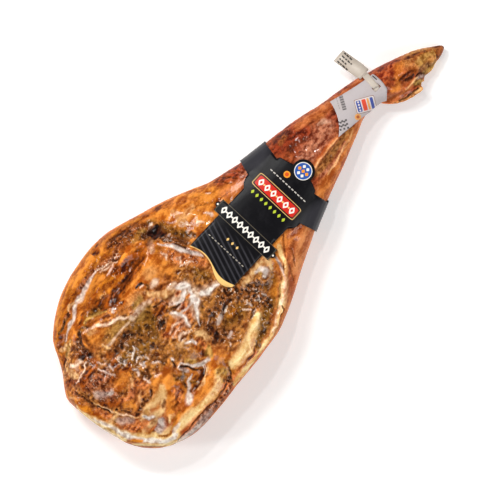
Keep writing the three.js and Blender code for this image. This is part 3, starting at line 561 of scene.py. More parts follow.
    # crust of the shoulder blade, whose faint fascia strokes are painted glints
    """
crust .95 0 192 -38 6 190 -54 9 188 -64 8 200 -66 12
crust .9 0 205 -36 6 222 -36 8 240 -34 8 252 -46 12 262 -62 13 262 -78 8
olive .85 0 215 -60 9 232 -62 9
goldLean .8 0 190 -82 7 205 -84 6 216 -76 6
amberFat .7 0 218 -58 3 228 -56 3
char .85 -.8 182 -62 3.4 190 -58 3 194 -48 3
char .85 -.8 216 -48 2.4 226 -43 3.4 234 -42 2.4
char .7 -.6 238 -78 2 246 -74 2.5
fascia .6 .3 204 -50 3 212 -48 3
glint 1 0 186 -78 6 200 -74 8 208 -86 5
glint 1 0 222 -50 8 240 -62 9 258 -70 9
glint 1 0 204 -44 7 228 -28 6 250 -40 8
fascia .56 .5 236 -62 .9 240 -68 1.2 243 -72 .8
fascia .56 .5 245 -62 .9 248 -68 1.1
fascia .52 .5 255 -66 .9 260 -72 1.1 262 -66 .7
fascia .52 .5 269 -66 .7 270 -74 .9
fascia .6 .4 219 -49 .9 225 -46 1.1
fascia .52 .4 191 -82 .9 194 -80 1.1
film .7 .3 198 -74 2 206 -72 1.6
amberFat .8 0 276 -80 5 288 -72 5 298 -60 4
olive .8 0 278 -66 4 290 -66 4 300 -56 3
paleAmber .8 0 262 -44 3 270 -42 4
crust .7 -.4 262 -48 3 272 -54 4
paleAmber .9 0 276 -42 3 284 -40 4 296 -40 4 300 -48 3
fascia .85 .2 282 -44 2.4 290 -46 4 293 -52 4 286 -55 3
oliveFat .9 0 284 -48 2 286 -51 1.6
""",
    # lean and white membranes in the middle; the fine pale streaks on the red lean are painted glints
    """
olive .9 0 220 18 7 232 12 7 236 2 6
goldLean .9 0 218 30 6 228 26 6 216 2 4 226 -2 4
redLean .9 0 222 58 6 230 46 8 236 32 7 246 14 5
glint 1 0 222 60 5 228 48 6 232 34 7 240 22 6
paleFat .8 .4 222 60 1.2 224 54 1.4 220 50 1
paleFat .8 .4 230 44 1.2 233 40 1.4 229 36 1
paleFat .8 .4 226 34 .9 232 30 1.1 238 24 1.1
paleFat .6 .2 216 74 4 222 80 3
redLean 1 0 152 -10 8 165 -16 11 188 -16 8 190 -2 6
orangeFat .8 .2 154 -6 4 164 -4 4
paleFat .7 .3 152 -12 1 162 -9 1 170 -12 1
paleFat .7 .3 152 -20 1 162 -17 1.2 170 -20 1
paleFat .8 .3 155 -28 1.6 162 -25 1.8 168 -30 1.4
char .5 -.5 152 -14 1 162 -13 .9
glint .9 0 156 -24 5 168 -24 6 172 -36 5
paleAmber .8 .2 184 24 4 194 22 4
paleFat .7 .2 196 24 3 204 24 3
paleFat .5 0 184 12 4 196 9 6 208 10 9 208 -4 8 200 -14 7 190 -26 4
paleFat .5 0 214 -6 5 226 -12 6 236 -16 4
paleFat .4 0 174 -2 4 178 -12 5 176 -24 4
fascia 1 .6 203 19 3 209 15 4.5 212 8 3.4
fascia 1 .6 209 4 3 207 -3 3.4 204 -8 4.4 208 -12 3
fascia .95 .5 181 11 1 187 7 2 196 5 2.6 203 9 2.6
redLean .9 .3 195 13 2 200 13 2
orangeFat .95 .4 201 1 2.2 205 1 2.4
fascia .95 .5 171 2 .9 175 0 1.4 178 -6 1.9 179 -14 2.4 176 -22 1.8 176 -28 1
fascia .8 .4 181 -6 .8 190 -8 1.2 199 -8 1.4
fascia .6 .4 182 0 .7 190 1 .8 197 3 .8
fascia .95 .5 204 -13 2.8 198 -18 2 193 -25 1.7 187 -32 1.2 185 -36 .8
olive .7 .2 206 -20 2 200 -26 2.4
fascia .9 .5 217 -9 2.4 224 -13 3.2 232 -15 2.4 239 -19 1
paleFat .7 .3 213 0 2 214 -6 1.8 218 -6 2
char .7 -1.2 153 3 2 157 4 2.2
crust .9 -.5 150 2 5 158 8 5 150 -4 3
char .6 -.8 154 3 1.6 157 4 1.8
crust .8 -.4 126 -7 4 134 -14 4 130 -18 3
char .8 -.8 126 -7 2.4 129 -6 2
crust .7 -.4 116 -12 3 118 -34 3 124 -28 2.4
goldLean .9 .3 134 -10 2.4 142 -22 5 136 -28 4
toffee .8 0 160 18 5 166 12 6 172 18 4
olive .9 .3 152 24 4 158 28 4 152 14 4
char .85 -.9 164 24 .8 170 23 1.3 176 22 1
wrinkled .7 0 176 18 3 182 12 3
paleFat .7 .5 178 10 .6 181 14 .7 185 12 .7 186 8 .6
char .8 -.8 178 6 1.4 184 3 1.6 190 3 1
""",
    # pit and the dark strip beside the grey film
    """
toffee .6 0 214 100 5 220 90 5 220 80 4 224 72 3
olive .6 0 216 98 4 224 90 5 226 80 3
crust 1 -.5 222 92 5 232 88 8 238 78 7 240 68 5
crust .95 -.3 240 66 4 246 56 5 252 46 5
olive .95 0 248 84 6 252 72 6 256 62 6 262 50 5
char .5 0 240 80 6 247 68 7 254 54 6
olive .8 0 238 102 3 246 96 4 254 88 3
glint .5 0 250 84 5 256 70 5 262 52 5 262 42 4
crust .8 -.4 262 52 3 266 46 3 264 58 2
char .6 0 226 90 6 236 87 8 242 82 6
char 1 -2 228 90 3 234 87 4.4 240 89 3.6
char .9 -1.2 230 82 3 238 80 2.6 244 76 2
paleFat .9 .4 234 97 1.1 238 96 1.5 241 97 1
char .85 -.8 231 68 .6 236 60 .8 243 52 .9 248 42 .9
film 1 .5 228 74 .9 231 67 1.3 235 60 1.9 240 50 2.6 244 40 3.2 249 30 3.2 253 21 1.8
fascia .5 .2 232 64 .8 238 52 1.2 244 38 1.4
""",
    # smooth fat toward the card, with pale patches on it as painted highlights
    """
orangeFat 1 0 254 96 7 270 82 13 290 74 14 320 62 14
redLean .45 0 276 94 3 290 84 3 300 74 2
paleAmber .45 0 272 86 4 268 70 5 290 70 4
glint .9 0 262 68 5 270 60 5 280 52 5
paleFat .75 .4 264 68 1.4 268 63 1.6 272 58 1.2
paleFat .75 .4 276 53 1.6 282 52 1.8 286 48 1.2
fascia .6 .3 298 51 1.6 300 45 1.8
fascia .7 .2 314 71 .9 316 68 1 319 66 .6
toffee .5 -.6 290 68 .7 300 62 .7 312 56 .7
toffee .5 -.6 318 54 .7 330 50 .8 340 49 .6
toffee .8 0 240 112 1.6 252 107 2.4 264 103 2.4 272 99 1.4
""",
    # rim of the cut along the right side, then the skin outside it
    """
creamFat 1 .6 170 -117 1.4 206 -116 2 232 -113 2.6 250 -108 3 264 -101 3.4 280 -92 4 294 -83 4
    305 -74 3.6 313 -65 4 318 -56 4.4 324 -48 6 331 -40 8
paleFat .7 .2 240 -111 1.6 262 -100 2 282 -90 2 298 -79 1.8
toffee .8 -.7 262 -107 .8 270 -103 1 273 -98 .8
oliveFat .8 -.3 266 -94 .8 280 -87 .9 292 -79 .9
""",
]


def readMarks(tables):
    # a word starts a mark, and the numbers after it belong to it
    marks = []
    for word in " ".join(tables).split():
        if word.isalpha():
            marks.append([word])
        else:
            marks[-1].append(float(word))
    return [(name, strength, height, path) for name, strength, height, *path in marks]


def readPoints(mesh, what="co"):
    values = np.empty(len(mesh.vertices) * 3)
    if what == "co":
        mesh.vertices.foreach_get("co", values)
    else:
        mesh.vertex_normals.foreach_get("vector", values)
    return values.reshape(-1, 3)


def readEdges(mesh):
    ends = np.empty(len(mesh.edges) * 2, int)
    mesh.edges.foreach_get("vertices", ends)
    return ends.reshape(-1, 2)


# marks on the rind of the shank, the foot and both sides of the card
skinMarks = [
    # pale fat on the flank of the butt, with the thin dark edge of the rind under it
    """
creamFat .95 0 3 12 1.4 1 0 2.4 1 -14 4 3 -28 4.4 6 -42 4.4 10 -54 4 13 -60 2.4
fascia .5 0 0 -6 1.2 1 -20 1.8 4 -36 1.8 9 -52 1.8
amberFat .5 0 0 4 .8 -1 -12 .9 0 -26 .9 4 -44 .9
oliveFat .6 0 4 -30 1 8 -38 1.4 10 -44 1
creamFat .9 0 15 -72 1.6 22 -82 2.2 32 -95 2.6 42 -105 2.6 58 -112 2.6
toffee .75 -.3 10 -67 .7 20 -83 .8 30 -96 .9 42 -108 1 54 -114 1
film .5 0 56 -117 2.4 76 -121 2.6 100 -123 2.4
fascia .6 0 50 -112 2 62 -114 2.6 76 -117 2.4 90 -120 1.6
""",
    # rim of the cut where it meets the card; the shank's pale spots and edge streak are painted highlights
    """
orangeFat .9 0 306 -66 3 312 -52 5 322 -42 6 332 -38 5
paleAmber .8 0 300 -56 2 305 -48 3 306 -40 3
creamFat .9 .6 282 -92 3 294 -84 3.4 304 -76 3.4 312 -69 3 318 -60 2.6 321 -52 2.6 326 -45 3
paleFat .8 .3 276 -95 1.4 290 -86 2 300 -78 2 304 -74 1.2
toffee .85 -.6 305 -72 .7 310 -67 1 314 -62 .7
film .95 .3 302 -75 .8 307 -68 1.2 311 -60 1.6 313 -51 1.5
toffee .6 -.4 322 -60 .8 328 -52 1 336 -44 1 341 -39 .8
rind .75 0 290 -96 8 318 -78 10 350 -64 11 372 -58 8
paleAmber .16 0 318 -78 6 345 -66 8 366 -60 6
pinkRind .6 0 344 -46 3 356 -46 4 364 -48 3
shankRind .85 0 338 66 8 360 60 10 380 50 12
rind .8 0 330 52 6 350 46 5
toffee .7 -.6 332 72 .9 340 64 1.1 346 54 .9
toffee .7 -.6 342 70 .9 350 62 1.2 356 52 .9
toffee .7 -.6 352 68 .9 361 60 1.2 367 50 .9
pinkRind .8 .3 362 52 3 369 48 3
shankRind .35 -.4 322 -64 2.4 334 -58 3 346 -55 2.4
toffee .5 -.5 306 -88 .9 312 -80 1.1 318 -70 .9
toffee .5 -.5 322 -76 .9 330 -66 1.1 336 -58 .8
pinkRind .9 0 425 4 7 445 5 12 470 8 13 492 10 9
shankRind 1 0 418 38 12 440 36 12 458 26 9
char .18 0 418 36 10 440 34 10 456 26 7
char .55 -.4 424 48 3 432 46 2.5
char .55 -.4 440 46 3 444 40 3
char .5 -.4 428 27 4 440 25 4 450 21 3
oliveRind .3 0 426 40 3 436 42 3
rind .75 0 455 38 4 475 34 4 500 29 3.4 530 22 3 552 17 3
paleFat .4 .3 477 20 2 484 18 3.4 489 13 2.4
shankRind .8 0 492 16 5 500 8 6 494 0 5
oliveRind .7 0 428 -18 5 450 -18 6 475 -16 4 500 -15 3
rind .9 .5 420 -14 4 432 -11 3 446 -9 3 466 -8 2.6 486 -9 2
paleAmber .5 .4 428 -12 1.2 448 -9.5 1.3 480 -9 1
rind 1 0 408 -42 9 440 -36 8 475 -29 6 510 -20 5 530 -16 3
orangeFat .5 0 412 -42 6 440 -34 7 475 -27 5 505 -20 4
pinkRind .7 0 430 -26 3 455 -27 3.4 480 -22 3
paleAmber .6 .4 436 -31 .9 460 -27 1.2 488 -21 1 500 -18 .8
rind .9 0 545 -22 5 560 -28 6 580 -30 7 596 -34 5
shankRind .9 0 574 8 6 590 4 6 604 -4 4
redRind .9 0 574 6 6 580 -6 8 586 -16 6 594 2 5
char .4 -.6 580 -8 2 584 -14 2
orangeFat .6 .4 572 -22 3 580 -25 3 588 -16 4 600 -8 6 612 -9 4
oliveRind .8 0 612 -16 8 626 -20 10 640 -27 9
rind .35 0 604 -20 7 622 -20 7 638 -26 6
oliveFat .7 .3 622 -24 5 638 -24 5 644 -30 4
toffee .8 -.4 612 -6 2 622 -12 2.4 634 -18 2.4 644 -24 2
toffee .85 -.8 590 -20 4 600 -24 5 610 -26 4
char .7 -1.2 592 -26 1.6 598 -29 2.2 605 -30 1.6
char .7 -.8 606 -33 1 612 -34 1.4 617 -38 1
film .8 .5 605 -36 1.6 611 -38 2 616 -40 1.4
oliveFat 1 .3 598 -38 3 605 -42 3.4
paleAmber .7 .4 584 -34 1 596 -34 1.2 606 -35 1
oliveFat .9 0 618 -38 3 626 -41 3 634 -40 3
horn 1 0 646 -36 4 652 -33 6 660 -33 6
toffee .8 -.8 640 -39 1 644 -34 1.2 646 -28 1
oliveRind .8 0 556 -34 3 572 -41 4 588 -47 4 600 -49 4
paleAmber .5 .2 590 -46 2 598 -48 2.4
char .85 -1.2 568 -37 .9 578 -41 1.2 588 -43 1.2 597 -45 .9
""",
]


def hamSkin():
    # an even fine mesh over the CAD solid, finer where the ham looks up
    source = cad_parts["ham"]
    mesh = source.data.copy()
    piece = bpy.data.objects.new("curedHam", mesh)
    bpy.context.scene.collection.objects.link(piece)
    work = bmesh.new()
    work.from_mesh(mesh)
    bmesh.ops.remove_doubles(work, verts=work.verts, dist=weldWithin)
    work.to_mesh(mesh)
    work.free()
    remesh = piece.modifiers.new("evenSkin", "REMESH")
    remesh.mode = "VOXEL"
    remesh.voxel_size = ham["voxel"] * mm
    graph = bpy.context.evaluated_depsgraph_get()
    even = bpy.data.meshes.new_from_object(piece.evaluated_get(graph))
    piece.modifiers.clear()
    piece.data = even
    spots, links = readPoints(even), readEdges(even)
    for share in ham["pull"] * ham["smoothing"]:
        spots += share * (neighbourMean(spots, links, len(spots)) - spots)
    even.vertices.foreach_set("co", spots.ravel())
    work = bmesh.new()
    work.from_mesh(even)
    work.normal_update()
    topEdges = {e for f in work.faces if f.normal.z > ham["topSlope"] for e in f.edges}
    bmesh.ops.subdivide_edges(work, edges=list(topEdges), cuts=1, smooth=0.6, use_grid_fill=True)
    bmesh.ops.triangulate(work, faces=[f for f in work.faces if len(f.verts) > 4])
    work.normal_update()
    work.to_mesh(even)
    work.free()
    even.shade_smooth()
    return piece


curedHam = hamSkin()
hamMesh = curedHam.data
count = len(hamMesh.vertices)
points = readPoints(hamMesh)
normals = readPoints(hamMesh, "normal")
place = toHam(points)
edges = readEdges(hamMesh)
triangles = sum(len(p.vertices) - 2 for p in hamMesh.polygons)
print("ham skin:", count, "points,", triangles, "triangles")

# every mark wanders a little, as cut flesh does
wander = np.zeros((count, 2))
for k, (size, far) in enumerate(ham["warp"]):
    wander += far * np.stack([gradientNoise(place, size, seed + k) for seed in (11, 31)], axis=1)
plan = place[:, :2] + wander

weights = {name: np.zeros(count) for name in tissues}
lift = np.zeros(count)
upward = smoothStep(0.05, 0.45, normals[:, 2])


def paint(name, cover):
    # lays one tissue over the ones before it
    for other in weights:
        weights[other] *= 1 - cover
    weights[name] += cover


# skin all over first: orange rind on the shoulder, red-brown on the shank and the foot
along, across = place[:, 0], place[:, 1]
paint("rind", np.ones(count))
size, strength = ham["patches"]
patches = layeredNoise(place, size, 81)
paint("amberFat", strength * smoothStep(0.05, 0.6, patches))
paint("redRind", strength * smoothStep(0.05, 0.6, -patches))
size, strength = ham["olivePatches"]
paint("oliveRind", strength * smoothStep(0.1, 0.6, layeredNoise(place, size, 91)))
# painted shade: faces that look down take on the darker rind of the shank
paint("shankRind", ham["underShade"] * smoothStep(0.3, 1.0, -normals[:, 2]))
shank = smoothStep(*ham["shankFrom"], along + ham["shankSlant"] * across)
paint("shankRind", shank * (0.75 + 0.35 * layeredNoise(place, 24, 71)).clip(0, 1))
paint("oliveRind", 0.9 * smoothStep(*ham["footFrom"], along))
paint("horn", smoothStep(*ham["hornFrom"], along))

cutFace = upward * (1 - smoothStep(*ham["faceEnds"], plan[:, 0] - ham["faceSlant"] * plan[:, 1]))
glint = np.zeros(count)
for name, strength, height, path in readMarks(faceMarks):
    cover = strokeCover(plan, path) * cutFace
    if name == "glint":
        glint = np.maximum(glint, cover * strength)
        continue
    paint(name, cover * strength)
    lift += height * cover
turnedUp = smoothStep(-0.35, 0.05, normals[:, 2])
for name, strength, height, path in readMarks(skinMarks):
    cover = strokeCover(place[:, :2] + 0.5 * wander, path) * turnedUp
    paint(name, cover * strength)
    lift += height * cover
print("tissues painted:", len(readMarks(faceMarks + skinMarks)), "marks")

# lumps and crags of each tissue
tone = np.zeros(count)
lumpShare, cragShare = ham["lumpsAndCrags"]
for k, (name, (*finish, size, stretch, height, shine)) in enumerate(tissues.items()):
    drawn = place / np.array([*stretch, 1.0])
    lumps = layeredNoise(drawn, size, 101 + 7 * k)
    crags = ridgedNoise(drawn, size * ham["cragSize"], 205 + 7 * k) ** 2
    form = lumpShare * lumps + cragShare * (crags - ham["cragLevel"])
    lift += weights[name] * height * form
    tone += weights[name] * form
    glint = np.maximum(glint, weights[name] * shine)
points += normals * (lift * mm)[:, None]
points[:, 2] = np.maximum(points[:, 2], 0.0)
hamMesh.vertices.foreach_set("co", points.ravel())
hamMesh.update()

# how deep each point lies below its surroundings, in mm
normals = readPoints(hamMesh, "normal")
place = toHam(points)
smoothed = place.copy()
hollow = np.zeros(count)
for k in range(1, max(ham["hollowRounds"]) + 1):
    smoothed = neighbourMean(smoothed, edges, count)
    if k in ham["hollowRounds"]:
        hollow += ((smoothed - place) * normals).sum(axis=1)

for name, values in [*weights.items(), ("hollow", hollow), ("tone", tone), ("glint", glint)]:
    layer = hamMesh.attributes.new(name, "FLOAT", "POINT")
    layer.data.foreach_set("value", values.astype(np.float32))
print("hollows: from", round(float(hollow.min()), 2), "to", round(float(hollow.max()), 2), "mm")


def curedPorkMaterial():
    # air-dried pork, oiled by its own fat: matt mottled flesh under a thin film of oil that shines
    material, shader = startMaterial("airDriedPork")
    tree = material.node_tree
    where = addNode(tree, "TexCoord").outputs["Object"]
    layers = {name: addNode(tree, "Attribute", attribute_name=name).outputs["Fac"]
              for name in [*tissues, "tone", "hollow", "glint"]}
    mottle = addNode(tree, "TexNoise", {"Vector": where, "Scale": 1 / (ham["mottle"] * mm), "Detail": 4,
                                        "Roughness": 0.6, "Distortion": 0.6}).outputs["Fac"]
    # tone lightens the lumps and darkens between them: mottling, and partly painted light and shade
    spread = addNode(tree, "Math", {0: layers["tone"], 1: ham["toneShare"], 2: mottle},
                     operation="MULTIPLY_ADD").outputs[0]
    spread = addNode(tree, "MapRange", {"Value": spread, "From Min": 0.2, "From Max": 0.8},
                     interpolation_type="SMOOTHSTEP").outputs[0]
    colour, rough = (0, 0, 0), 0
    for name, (dark, light, roughness, *relief) in tissues.items():
        shade = addNode(tree, "Mix", {0: spread, 6: linear(dark), 7: linear(light)},
                        data_type="RGBA").outputs[2]
        colour = addNode(tree, "VectorMath", {0: shade, 1: layers[name], 2: colour},
                         operation="MULTIPLY_ADD").outputs[0]
        rough = addNode(tree, "Math", {0: layers[name], 1: roughness, 2: rough},
                        operation="MULTIPLY_ADD").outputs[0]
    # painted light and shade: the colour is lighter on the crests and darker in the hollows
    (crest, pit), (crestLight, pitLight) = ham["crestAndPit"], ham["crestAndPitLight"]
    shadeByDepth = addNode(tree, "MapRange", {"Value": layers["hollow"], "From Min": crest, "From Max": pit,
                                              "To Min": crestLight, "To Max": pitLight}).outputs[0]
    colour = addNode(tree, "VectorMath", {0: colour, "Scale": shadeByDepth}, operation="SCALE").outputs[0]
    # painted highlight: pale specks on the crests stand in for glints of the oily film
    paintedGlintSpots = addNode(tree, "TexNoise", {"Vector": where, "Scale": 1 / (ham["paintedGlintSpacing"] * mm), "Detail": 3,
                                       "Roughness": 0.55, "Distortion": 1.2}).outputs["Fac"]
    paintedGlintSpots = addNode(tree, "Math", {0: layers["hollow"], 1: -0.06, 2: paintedGlintSpots},
                    operation="MULTIPLY_ADD").outputs[0]
    paintedGlintSpots = addNode(tree, "MapRange", {"Value": paintedGlintSpots, "From Min": 0.58, "From Max": 0.68},
                    interpolation_type="SMOOTHSTEP").outputs[0]
    paintedGlintSpots = addNode(tree, "Math", {0: paintedGlintSpots, 1: layers["glint"]}, operation="MULTIPLY").outputs[0]
    colour = addNode(tree, "Mix", {0: paintedGlintSpots, 6: colour, 7: linear(ham["paintedGlintColour"])},
                     data_type="RGBA").outputs[2]
    grain = addNode(tree, "TexNoise", {"Vector": where, "Scale": 1 / (ham["grain"] * mm), "Detail": 2,
                                       "Roughness": 0.5}).outputs["Fac"]
    bump = addNode(tree, "Bump", {"Height": grain, "Strength": 1.0, "Distance": ham["grainHeight"] * mm})
    fillSockets(shader, {
        "Base Color": colour, "Roughness": rough, "Normal": bump.outputs[0],
        "IOR": 1.46, "Specular IOR Level": 0.07,
        "Coat Weight": 0.22, "Coat Roughness": 0.06,    # the film of oil
        "Subsurface Weight": 0.06, "Subsurface Radius": (0.006, 0.002, 0.001), "Subsurface Scale": 1.0,
    })
    return material


hamMesh.materials.clear()
hamMesh.materials.append(curedPorkMaterial())
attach(curedHam, "root")
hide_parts("ham")
print("ham finished")

shankAxisHeight = 0.025    # m, about the middle of the shank, from which thin pieces wave out and in
sharpEdge = math.radians(35)


def thinPiece(node, name, look, material):
    # a thin piece round the shank: it keeps the CAD shape, welded, finer, with a slight ripple
    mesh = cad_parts[node].data.copy()
    work = bmesh.new()
    work.from_mesh(mesh)
    bmesh.ops.remove_doubles(work, verts=work.verts, dist=weldWithin)
    bmesh.ops.subdivide_edges(work, edges=work.edges, cuts=look["cuts"], use_grid_fill=True)
    bmesh.ops.triangulate(work, faces=[f for f in work.faces if len(f.verts) > 4])
    work.to_mesh(mesh)
    work.free()
    spots = readPoints(mesh)
    outward = spots - np.array([0, (hamLow.y + hamHigh.y) / 2, shankAxisHeight])
    outward[:, 0] = 0
    outward /= np.linalg.norm(outward, axis=1, keepdims=True)
    far, size, seed = look["ripple"]
    spots += outward * (layeredNoise(toHam(spots), size, seed, 2) * far * mm)[:, None]
    mesh.vertices.foreach_set("co", spots.ravel())
    mesh.shade_smooth()
    mesh.set_sharp_from_angle(angle=sharpEdge)
    mesh.materials.clear()
    mesh.materials.append(material)
    piece = bpy.data.objects.new(name, mesh)
    bpy.context.scene.collection.objects.link(piece)
    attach(piece, "root")
    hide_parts(node)


# forms of a print: the power that its outline is drawn with
lozenge, oval, block, squareBlock = 1.2, 2, 8, 12
farOff = 9999    # a row repeats across only, so its other two directions wrap this far out


def stamp(tree, where, colour, look, ink, centre, half, form=block, row=None, turn=0.0, edge=0.15,
          strength=1.0):
    # prints one shape over the colour, in the piece's own print axes and mm;
    # row repeats it across: how many, how far apart
    (x, y), baseTurn = look["place"], look["turn"]
    c, d = math.cos(baseTurn), math.sin(baseTurn)
    spot = fromHam(x + c * centre[0] - d * centre[1], y + d * centre[0] + c * centre[1])
    local = addNode(tree, "Mapping", {"Vector": where, "Location": spot,
                                      "Rotation": (0, 0, baseTurn + math.radians(turn)),
                                      "Scale": (half[0] * mm, half[1] * mm, 1)},
                    vector_type="TEXTURE").outputs[0]
    if row:
        many, apart = row[0], row[1] / half[1]
        middle = 0.5 * apart * ((many + 1) % 2)
        shifted = addNode(tree, "VectorMath", {0: local, 1: (0, middle, 0)}).outputs[0]
        spread = addNode(tree, "VectorMath", {0: local}, operation="ABSOLUTE").outputs[0]
        spread = addNode(tree, "VectorMath", {0: spread, 1: (0, 1, 0)},
                         operation="DOT_PRODUCT").outputs["Value"]
        strength = addNode(tree, "Math", {0: spread, 1: 0.5 * apart * many},
                           operation="LESS_THAN").outputs[0]
        local = addNode(tree, "VectorMath", {0: shifted, 1: (farOff, 0.5 * apart, farOff),
                                             2: (-farOff, -0.5 * apart, -farOff)},
                        operation="WRAP").outputs[0]
    size = addNode(tree, "VectorMath", {0: local}, operation="ABSOLUTE").outputs[0]
    size = addNode(tree, "VectorMath", {0: size, 1: (form, form, 1)}, operation="POWER").outputs[0]
    size = addNode(tree, "VectorMath", {0: size, 1: (1, 1, 0)},
                   operation="DOT_PRODUCT").outputs["Value"]
    soft = min(0.6, form * edge / min(half))
    inside = addNode(tree, "MapRange", {"Value": size, "From Min": 1 + soft, "From Max": 1 - soft,
                                        "To Max": strength}).outputs[0]
    return addNode(tree, "Mix", {0: inside, 6: colour, 7: linear(look[ink])}, data_type="RGBA").outputs[2]


# Card sleeve: coated solid board, die-cut, offset-printed black with a satin varnish
card = {
    "place": (350.0, 0.2),        # the print's own axes on the ham
    "turn": math.radians(-1.7),
    "frontFrom": 40.0,            # mm: the front lies above this height, the plain back below it
    "cuts": 2,                    # new points along each edge of the CAD shape
    "ripple": (0.12, 22, 301),    # mm in and out, mm between waves, seed
    "furrowStep": 6.4,            # mm between the furrows of the free end
    "furrowTurn": math.radians(20),
    "furrowsFrom": (-49, -58),    # mm along, where they fade in
    "wave": (72, 4.1),            # mm: length and height of the free end's waves
    "goldBelow": -97.3,           # mm along: the gold border starts here
    "paintedWingSheen": (58, -58),      # mm across: soft grey fields on the wings, painted sheen
    "roughness": (0.26, 0.38),
    "black": "#0c0b0f", "grey": "#36353a", "gold": "#f4c678", "outline": "#6b6252", "cream": "#f2ece2",
    "red": "#cf2b1d", "leaf": "#b8c838", "blue": "#2a56a4", "orange": "#f09a2c", "vermilion": "#d4511d",
    "silver": "#c9c4bb", "dove": "#a9a294", "scuffed": "#6a686c",
}

# ink, centre and half size in mm, form, and for a row how many and how far apart
cardPrint = [
    # bar with a fine outline and a row of lozenges and dots
    ("outline", (-36, 0), (9.2, 46.6), squareBlock),
    ("black", (-36, 0), (8.6, 46.0), squareBlock),
    ("cream", (-36, 0), (5.6, 3.6), lozenge, (9, 9.2)),
    ("black", (-36, 0), (2.4, 1.4), lozenge, (9, 9.2)),
    ("cream", (-36, 0), (1.1, 1.1), oval, (8, 9.2)),
    ("cream", (-36, 0), (1.2, 1.2), oval, (2, 96)),
    # red band between gold lines, with cream lozenges, and a row of green ones beside it
    ("gold", (22, 0), (9.4, 35.4), squareBlock),
    ("black", (22, 0), (8.7, 34.7), squareBlock),
    ("red", (22, 0), (7.0, 33.0), squareBlock),
    ("cream", (22, 0), (5.2, 3.8), lozenge, (6, 10.6)),
    ("red", (22, 0), (2.2, 1.6), lozenge, (6, 10.6)),
    ("gold", (22, 0), (1.2, 1.2), oval, (5, 10.6)),
    ("leaf", (6, 0), (2.9, 1.9), lozenge, (8, 7.6)),
    # fine dashes either side
    ("silver", (42, -1), (0.7, 1.7), block, (12, 5.2)),
    ("dove", (-72, 0), (0.6, 1.5), block, (12, 5.2)),
    ("gold", (-60, 0), (2.2, 1.6), lozenge, (3, 8)),
    # round end: a blue disc set with small lozenges, and a small orange disc beside it
    ("cream", (68.6, -2.8), (11.6, 11.6), oval),
    ("blue", (68.6, -2.8), (10.6, 10.6), oval),
    ("cream", (63.2, -2.8), (2.4, 2.2), lozenge, (2, 6)),
    ("orange", (68.6, -2.8), (2.6, 2.4), lozenge, (3, 6)),
    ("cream", (74.0, -2.8), (2.4, 2.2), lozenge, (2, 6)),
    ("orange", (51.5, 9.5), (4.4, 4.4), oval),
    ("vermilion", (51.5, 9.5), (2.6, 2.6), oval),
]


